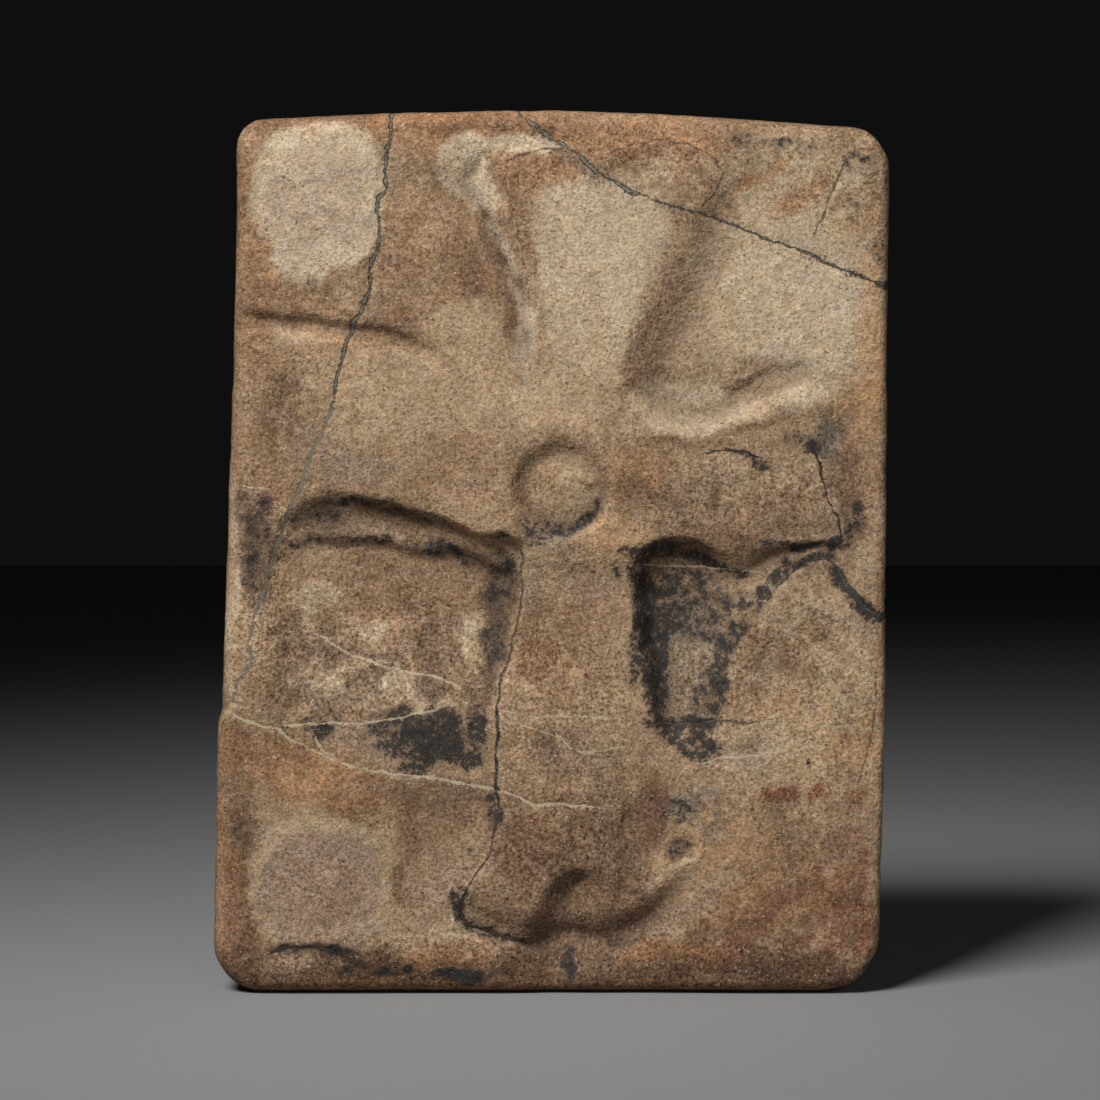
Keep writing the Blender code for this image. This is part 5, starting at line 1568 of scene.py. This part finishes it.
class Graph:
    """Short ways to lay nodes in one node tree."""

    def __init__(self, tree: bpy.types.NodeTree) -> None:
        """Take the tree to work in."""
        self.tree = tree

    def node(self, kind: str, inputs: dict | None = None, **settings: object) -> bpy.types.Node:
        """Add a node, set its options and fill its sockets.

        Args:
            kind: node type without its ShaderNode prefix.
            inputs: socket name or number to a value or another node's output.
            settings: the node's own options.

        Returns:
            The new node.
        """
        made = self.tree.nodes.new(kind if kind.startswith("Node") else "ShaderNode" + kind)
        for name, value in settings.items():
            setattr(made, name, value)
        for name, value in (inputs or {}).items():
            if isinstance(value, bpy.types.NodeSocket):
                self.tree.links.new(value, made.inputs[name])
            else:
                made.inputs[name].default_value = value
        return made

    def math(self, operation: str, *values: object) -> bpy.types.NodeSocket:
        """Work on one to three values.

        Args:
            operation: Math node's operation.
            values: numbers or sockets.

        Returns:
            The result's socket.
        """
        return self.node("Math", dict(enumerate(values)), operation=operation).outputs[0]

    def ramp(self, value: object, start: object, end: object, low: float = 0.0,
             high: float = 1.0) -> bpy.types.NodeSocket:
        """Ease a value from one range to another.

        Args:
            value: value to read.
            start: value that gives low.
            end: value that gives high.
            low: result at start.
            high: result at end.

        Returns:
            The result's socket.
        """
        inputs = {"Value": value, "From Min": start, "From Max": end, "To Min": low, "To Max": high}
        return self.node("MapRange", inputs, interpolation_type="SMOOTHSTEP").outputs["Result"]

    def mix(self, share: object, under: object, over: object, blend: str = "MIX") -> bpy.types.NodeSocket:
        """Lay one colour over another.

        Args:
            share: how much of the upper one shows.
            under: lower colour.
            over: upper colour.
            blend: blend type.

        Returns:
            The mixed colour's socket.
        """
        inputs = {0: share, 6: under, 7: over}
        return self.node("Mix", inputs, data_type="RGBA", blend_type=blend).outputs[2]

    def noise(self, place: object, per_metre: object, detail: float = 2.0,
              roughness: float = 0.5) -> bpy.types.NodeSocket:
        """Lay a random field.

        Args:
            place: place to read it at.
            per_metre: features to the metre.
            detail: number of finer layers.
            roughness: strength of each finer layer.

        Returns:
            The field's socket, around 0.5.
        """
        inputs = {"Vector": place, "Scale": per_metre, "Detail": detail, "Roughness": roughness}
        return self.node("TexNoise", inputs).outputs[0]

    def attribute(self, name: str, output: str = "Fac") -> bpy.types.NodeSocket:
        """Read one of the piece's own attributes.

        Args:
            name: attribute's name.
            output: Fac, Color or Alpha.

        Returns:
            The attribute's socket.
        """
        return self.node("Attribute", attribute_name=name).outputs[output]


class Socket(Enum):
    """The kinds of socket that a node group has."""

    VALUE = "NodeSocketFloat"
    PLACE = "NodeSocketVector"
    COLOUR = "NodeSocketColor"


class Effect:
    """A shader node group with named inputs and outputs, built once."""

    def __init__(self, name: str, inputs: dict[str, Socket], outputs: dict[str, Socket]) -> None:
        """Make the group's sockets.

        Args:
            name: group's name.
            inputs: input name to socket type.
            outputs: output name to socket type.
        """
        self.tree = bpy.data.node_groups.new(name, "ShaderNodeTree")
        for socket, kind in inputs.items():
            self.tree.interface.new_socket(name=socket, in_out="INPUT", socket_type=kind.value)
        for socket, kind in outputs.items():
            self.tree.interface.new_socket(name=socket, in_out="OUTPUT", socket_type=kind.value)
        self.graph = Graph(self.tree)
        self.inside = self.graph.node("NodeGroupInput").outputs
        self.result = self.graph.node("NodeGroupOutput").inputs

    def give(self, name: str, value: bpy.types.NodeSocket) -> None:
        """Put a socket out under a name."""
        self.tree.links.new(value, self.result[name])

    def place(self, graph: Graph, inputs: dict) -> bpy.types.bpy_prop_collection:
        """Use the group in a material.

        Args:
            graph: material's graph.
            inputs: input name to a value or socket.

        Returns:
            The group's output sockets.
        """
        return graph.node("Group", inputs, node_tree=self.tree).outputs


def grain_effect() -> Effect:
    """Make the group for sand grain: a field whose every octave is nearly as strong as the last.

    Returns:
        The group, with Shade around 1 and Height around 0.5.
    """
    effect = Effect("sand grain", {"Place": Socket.PLACE, "Size": Socket.VALUE, "Layers": Socket.VALUE,
                                   "Contrast": Socket.VALUE},
                    {"Shade": Socket.VALUE, "Height": Socket.VALUE})
    graph = effect.graph
    per_metre = graph.math("DIVIDE", 1000.0, effect.inside["Size"])
    field_value = graph.noise(effect.inside["Place"], per_metre, effect.inside["Layers"], 0.95)
    centred = graph.math("SUBTRACT", field_value, 0.5)
    effect.give("Shade", graph.math("MULTIPLY_ADD", centred, effect.inside["Contrast"], 1.0))
    effect.give("Height", field_value)
    return effect


def speck_effect() -> Effect:
    """Make the group for specks: the peaks of a fine field above a level.

    Returns:
        The group, with Mask from 0 to 1.
    """
    effect = Effect("mineral specks", {"Place": Socket.PLACE, "Size": Socket.VALUE, "Level": Socket.VALUE},
                    {"Mask": Socket.VALUE})
    graph = effect.graph
    per_metre = graph.math("DIVIDE", 1000.0, effect.inside["Size"])
    peak = graph.noise(effect.inside["Place"], per_metre, 1.0, 0.5)
    top = graph.math("ADD", effect.inside["Level"], 0.06)
    effect.give("Mask", graph.ramp(peak, effect.inside["Level"], top))
    return effect


def line_effect() -> Effect:
    """Make the group that draws lines from their distances.

    The fill covers places nearer than the half breadth, which a middling field
    widens and narrows and a fine one makes ragged. The edge is a dark seam along
    both sides of the fill, and on a black line it covers the middle too.

    Returns:
        The group, with Fill and Edge from 0 to 1.
    """
    effect = Effect("stone lines", {"Line": Socket.COLOUR, "Black": Socket.VALUE, "Place": Socket.PLACE},
                    {"Fill": Socket.VALUE, "Edge": Socket.VALUE})
    graph = effect.graph
    parts = graph.node("SeparateColor", {0: effect.inside["Line"]}).outputs
    fine = graph.noise(effect.inside["Place"], 1700.0, 2.0, 0.8)
    broad = graph.noise(effect.inside["Place"], 330.0, 1.0, 0.6)
    shaken = graph.math("ADD", parts[0], graph.math("MULTIPLY_ADD", fine, 1.5, -0.75))
    apart = graph.math("ABSOLUTE", shaken)
    swing = graph.math("MULTIPLY_ADD", broad, 3.2, -0.7)
    breadth = graph.math("MULTIPLY", parts[2], graph.math("MAXIMUM", swing, 0.12))
    near = graph.ramp(parts[1], 2.8, 2.0)
    inner = graph.math("MULTIPLY", breadth, 0.7)
    outer = graph.math("MULTIPLY_ADD", breadth, 1.3, 0.0001)
    fill = graph.math("MULTIPLY", graph.ramp(apart, outer, inner), near)
    effect.give("Fill", fill)
    rim = graph.math("ABSOLUTE", graph.math("SUBTRACT", apart, graph.math("MULTIPLY", breadth, 0.8)))
    seam = graph.ramp(rim, graph.math("MULTIPLY_ADD", breadth, 0.3, 0.12), 0.0)
    drawn = graph.math("MULTIPLY", seam, graph.math("MULTIPLY", near, graph.ramp(parts[2], 0.02, 0.2)))
    middle = graph.math("MULTIPLY", fill, graph.ramp(broad, 0.35, 0.55, 0.55, 1.0))
    whole = graph.math("MULTIPLY", middle, graph.ramp(effect.inside["Black"], 0.45, 1.0))
    weak = graph.math("MULTIPLY", drawn, graph.ramp(effect.inside["Black"], 0.0, 0.4, 0.0, 0.95))
    effect.give("Edge", graph.math("MAXIMUM", whole, weak))
    return effect


@dataclass
class Sandstone:
    """The stone's material."""

    finish: StoneFinish

    def build(self) -> bpy.types.Material:
        """Build the material from the stone's attributes and three effects.

        Returns:
            The finished material.
        """
        finish = self.finish
        material = bpy.data.materials.new("weathered sandstone")
        material.use_nodes = True
        tree = material.node_tree
        graph = Graph(tree)
        place = graph.node("TexCoord").outputs["Object"]
        grit = graph.attribute("grit")
        grain, specks, lines = grain_effect(), speck_effect(), line_effect()
        fine = grain.place(graph, {"Place": place, "Size": finish.fine_size, "Layers": 1.0,
                                   "Contrast": graph.math("MULTIPLY", grit, finish.fine_contrast)})
        coarse = grain.place(graph, {"Place": place, "Size": finish.grain_size, "Layers": 1.5,
                                     "Contrast": graph.math("MULTIPLY", grit, finish.grain_contrast)})
        drift = grain.place(graph, {"Place": place, "Size": finish.drift_size, "Layers": 1.0,
                                    "Contrast": graph.math("MULTIPLY", grit, finish.drift_contrast)})
        colour = graph.attribute("stain_and_painted_light", "Color")
        shade = graph.math("MULTIPLY", graph.math("MULTIPLY", fine["Shade"], coarse["Shade"]), drift["Shade"])
        colour = self._shade(graph, colour, shade, place)
        dark = specks.place(graph, {"Place": place, "Size": finish.speck_size,
                                    "Level": finish.speck_level})["Mask"]
        colour = graph.mix(graph.math("MULTIPLY", dark, 0.6), colour, self._tone(finish.dark_speck))
        aside = graph.node("VectorMath", {0: place, 1: (0.37, 0.61, 0.23)}, operation="ADD").outputs[0]
        pale = specks.place(graph, {"Place": aside, "Size": finish.speck_size * 0.8,
                                    "Level": finish.pale_speck_level})["Mask"]
        colour = graph.mix(graph.math("MULTIPLY", pale, 0.5), colour, self._tone(finish.pale_speck))
        # Dirt and painted shade in the carving's hollows, darker the deeper a place lies below its
        # surroundings.
        hollow = graph.ramp(graph.attribute("hollow"), 0.05, 1.1)
        colour = graph.mix(graph.math("MULTIPLY", hollow, 0.35), colour, self._tone(finish.hollow_dirt_and_shade))
        colour = self._soot_and_shadow(graph, colour, fine, place)
        colour, height = self._draw_lines(graph, colour, lines, place)
        coarse_height = graph.math("MULTIPLY", coarse["Height"], 0.5)
        grains = graph.math("MULTIPLY_ADD", fine["Height"], 0.35, coarse_height)
        relief = graph.math("MULTIPLY_ADD", height, -0.25, grains)
        bump = graph.node("Bump", {"Height": relief, "Distance": finish.bump_distance * MM, "Strength": 1.0})
        shader = tree.nodes["Principled BSDF"]
        tree.links.new(colour, shader.inputs["Base Color"])
        rough = graph.ramp(fine["Height"], 0.2, 0.8, finish.roughness + 0.08, finish.roughness - 0.08)
        tree.links.new(rough, shader.inputs["Roughness"])
        tree.links.new(bump.outputs[0], shader.inputs["Normal"])
        shader.inputs["Specular IOR Level"].default_value = 0.3
        return material

    def _tone(self, seen: tuple[float, float, float]) -> tuple[float, float, float, float]:
        """Turn a colour as it looks into one for a socket."""
        return (*linear(seen), 1.0)

    def _shade(self, graph: Graph, colour: bpy.types.NodeSocket, shade: bpy.types.NodeSocket,
               place: bpy.types.NodeSocket) -> bpy.types.NodeSocket:
        """Speckle the colour by the grains, and let its hue drift from warm to cool.

        Args:
            graph: material's graph.
            colour: stained colour.
            shade: all grains' shade.
            place: place on the stone.

        Returns:
            The shaded colour.
        """
        warm = [graph.math("POWER", shade, power) for power in (0.94, 1.03, 1.16)]
        grey = graph.node("CombineColor", {0: warm[0], 1: warm[1], 2: warm[2]}).outputs[0]
        colour = graph.mix(1.0, colour, grey, "MULTIPLY")
        hue = graph.ramp(graph.noise(place, 260.0, 3.0, 0.7), 0.3, 0.7)
        tint = graph.mix(hue, (1.05, 1.0, 0.93, 1.0), (0.97, 1.0, 1.05, 1.0))
        return graph.mix(1.0, colour, tint, "MULTIPLY")

    def _soot_and_shadow(self, graph: Graph, colour: bpy.types.NodeSocket, fine: bpy.types.bpy_prop_collection,
              place: bpy.types.NodeSocket) -> bpy.types.NodeSocket:
        """Lay soot and the shadow painted with it where its cover beats a mottled field, grain by grain.

        Args:
            graph: material's graph.
            colour: colour below.
            fine: the fine grain's outputs.
            place: place on the stone.

        Returns:
            The sooty colour.
        """
        mottle = graph.noise(place, 300.0, 2.0, 0.9)
        level = graph.math("ADD", graph.math("MULTIPLY_ADD", mottle, 2.6, -1.3),
                           graph.math("MULTIPLY_ADD", fine["Height"], 2.6, -1.3))
        cover = graph.math("ADD", graph.attribute("soot_and_shadow"), level)
        near = graph.ramp(graph.attribute("soot_and_shadow"), 0.02, 0.3)
        mask = graph.math("MULTIPLY", graph.ramp(cover, 0.1, 0.95), near)
        black = graph.mix(graph.ramp(fine["Height"], 0.35, 0.75), self._tone(self.finish.deep_soot_and_shadow),
                          self._tone(self.finish.soot_and_shadow))
        return graph.mix(graph.math("MULTIPLY", mask, 0.93), colour, black)

    def _draw_lines(self, graph: Graph, colour: bpy.types.NodeSocket, lines: Effect,
                    place: bpy.types.NodeSocket) -> tuple[bpy.types.NodeSocket, bpy.types.NodeSocket]:
        """Draw the veins, then the cracks, and add up how deep they are.

        Args:
            graph: material's graph.
            colour: colour below.
            lines: group that draws lines.
            place: place on the stone.

        Returns:
            The colour with its lines and their depth.
        """
        finish = self.finish
        depth: bpy.types.NodeSocket | None = None
        fills = {Mark.PALE: (finish.vein_fill, 0.7), Mark.PALE_BRANCH: (finish.vein_fill, 0.65),
                 Mark.DARK: (finish.line_fill, 0.85), Mark.DARK_BRANCH: (finish.branch_fill, 0.8)}
        for mark, (fill, strength) in fills.items():
            sockets = graph.node("Attribute", attribute_name=mark.value).outputs
            drawn = lines.place(graph, {"Line": sockets["Color"], "Black": sockets["Alpha"], "Place": place})
            colour = graph.mix(graph.math("MULTIPLY", drawn["Fill"], strength), colour, self._tone(fill))
            colour = graph.mix(drawn["Edge"], colour, self._tone(finish.line_edge))
            part = drawn["Edge"]
            depth = part if depth is None else graph.math("MAXIMUM", depth, part)
        return colour, depth


@dataclass(frozen=True)
class Lamp:
    """A soft square light: its place and side in metres, its power in watts, its spread in degrees."""

    name: str
    place: tuple[float, float, float]
    side: float
    power: float
    spread: float


@dataclass
class Studio:
    """Pale floor, soft lights and the camera, which is placed from the slab's size in metres."""

    low: Vector
    high: Vector
    frame_pixels: float = 1100.0
    slab_pixels: float = 675.0
    middle_pixel: float = 550.0
    foot_pixel: float = 998.0
    lens: float = 120.0
    sensor: float = 36.0
    elevation: float = 1.8
    floor_size: float = 6.0
    floor_tiles: int = 8
    floor_colour: tuple[float, float, float] = (142, 142, 142)
    world_level: float = 0.0048
    lamps: tuple[Lamp, ...] = (Lamp("key light", (-0.36, -0.62, 0.86), 0.38, 1.74, 62.0),
                               Lamp("fill light", (0.9, -1.6, 0.5), 1.4, 2.3, 120.0))

    def build(self) -> None:
        """Set up floor, lights, world and camera."""
        self._floor()
        for lamp in self.lamps:
            self._light(lamp)
        world = bpy.data.worlds.new("studio")
        world.use_nodes = True
        background = world.node_tree.nodes["Background"]
        background.inputs["Color"].default_value = (*(self.world_level,) * 3, 1.0)
        bpy.context.scene.world = world
        bpy.context.scene.view_settings.view_transform = "Standard"
        self._camera()

    def _floor(self) -> None:
        """Lay a plain pale floor under the slab."""
        half = self.floor_size / 2
        steps = np.linspace(-half, half, self.floor_tiles + 1)
        x, y = (grid.ravel() for grid in np.meshgrid(steps, steps))
        mesh = bpy.data.meshes.new("floor")
        corners = np.stack((x, y, np.full(len(x), self.low.z)), axis=1)
        mesh.from_pydata(corners.tolist(), [], grid_faces(self.floor_tiles, self.floor_tiles).tolist())
        floor = bpy.data.objects.new("floor", mesh)
        bpy.context.scene.collection.objects.link(floor)
        material = bpy.data.materials.new("pale floor")
        material.use_nodes = True
        shader = material.node_tree.nodes["Principled BSDF"]
        shader.inputs["Base Color"].default_value = (*linear(self.floor_colour), 1.0)
        shader.inputs["Roughness"].default_value = 0.85
        mesh.materials.append(material)

    def _light(self, lamp: Lamp) -> None:
        """Aim a soft square light at the slab's middle.

        Args:
            lamp: the light to hang.
        """
        data = bpy.data.lights.new(lamp.name, "AREA")
        data.size = lamp.side
        data.energy = lamp.power
        data.spread = math.radians(lamp.spread)
        light = bpy.data.objects.new(lamp.name, data)
        bpy.context.scene.collection.objects.link(light)
        light.location = lamp.place
        middle = (self.low + self.high) / 2
        light.rotation_euler = (middle - light.location).to_track_quat("-Z", "Y").to_euler()

    def _camera(self) -> None:
        """Put the camera where the slab's front is as large and as high in the frame as in the photograph."""
        frame_width = (self.high.x - self.low.x) * self.frame_pixels / self.slab_pixels
        pixel = frame_width / self.frame_pixels
        aim = Vector((0.0, self.low.y, self.low.z + (self.foot_pixel - self.middle_pixel) * pixel))
        distance = frame_width * self.lens / self.sensor
        turn = math.radians(self.elevation)
        camera_data = bpy.data.cameras.new("camera")
        camera_data.lens = self.lens
        camera_data.sensor_width = self.sensor
        camera_data.clip_start = 0.01
        camera = bpy.data.objects.new("camera", camera_data)
        bpy.context.scene.collection.objects.link(camera)
        camera.location = aim + Vector((0.0, -math.cos(turn), math.sin(turn))) * distance
        camera.rotation_euler = (aim - camera.location).to_track_quat("-Z", "Y").to_euler()
        bpy.context.scene.camera = camera


def main() -> None:
    """Build the stone and the studio, and report each piece."""
    logging.basicConfig(level=logging.INFO, format="%(name)s: %(message)s")
    low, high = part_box("plaque")
    Studio(Vector(low), Vector(high)).build()
    plaque = Plaque(Slab(Vector(low), Vector(high)))
    piece = plaque.build()
    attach(piece, "root")
    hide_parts("plaque")
    mesh = piece.data
    LOG.info("%s has %d corners and %d faces", piece.name, len(mesh.vertices), len(mesh.polygons))


if __name__ == "__main__":
    main()
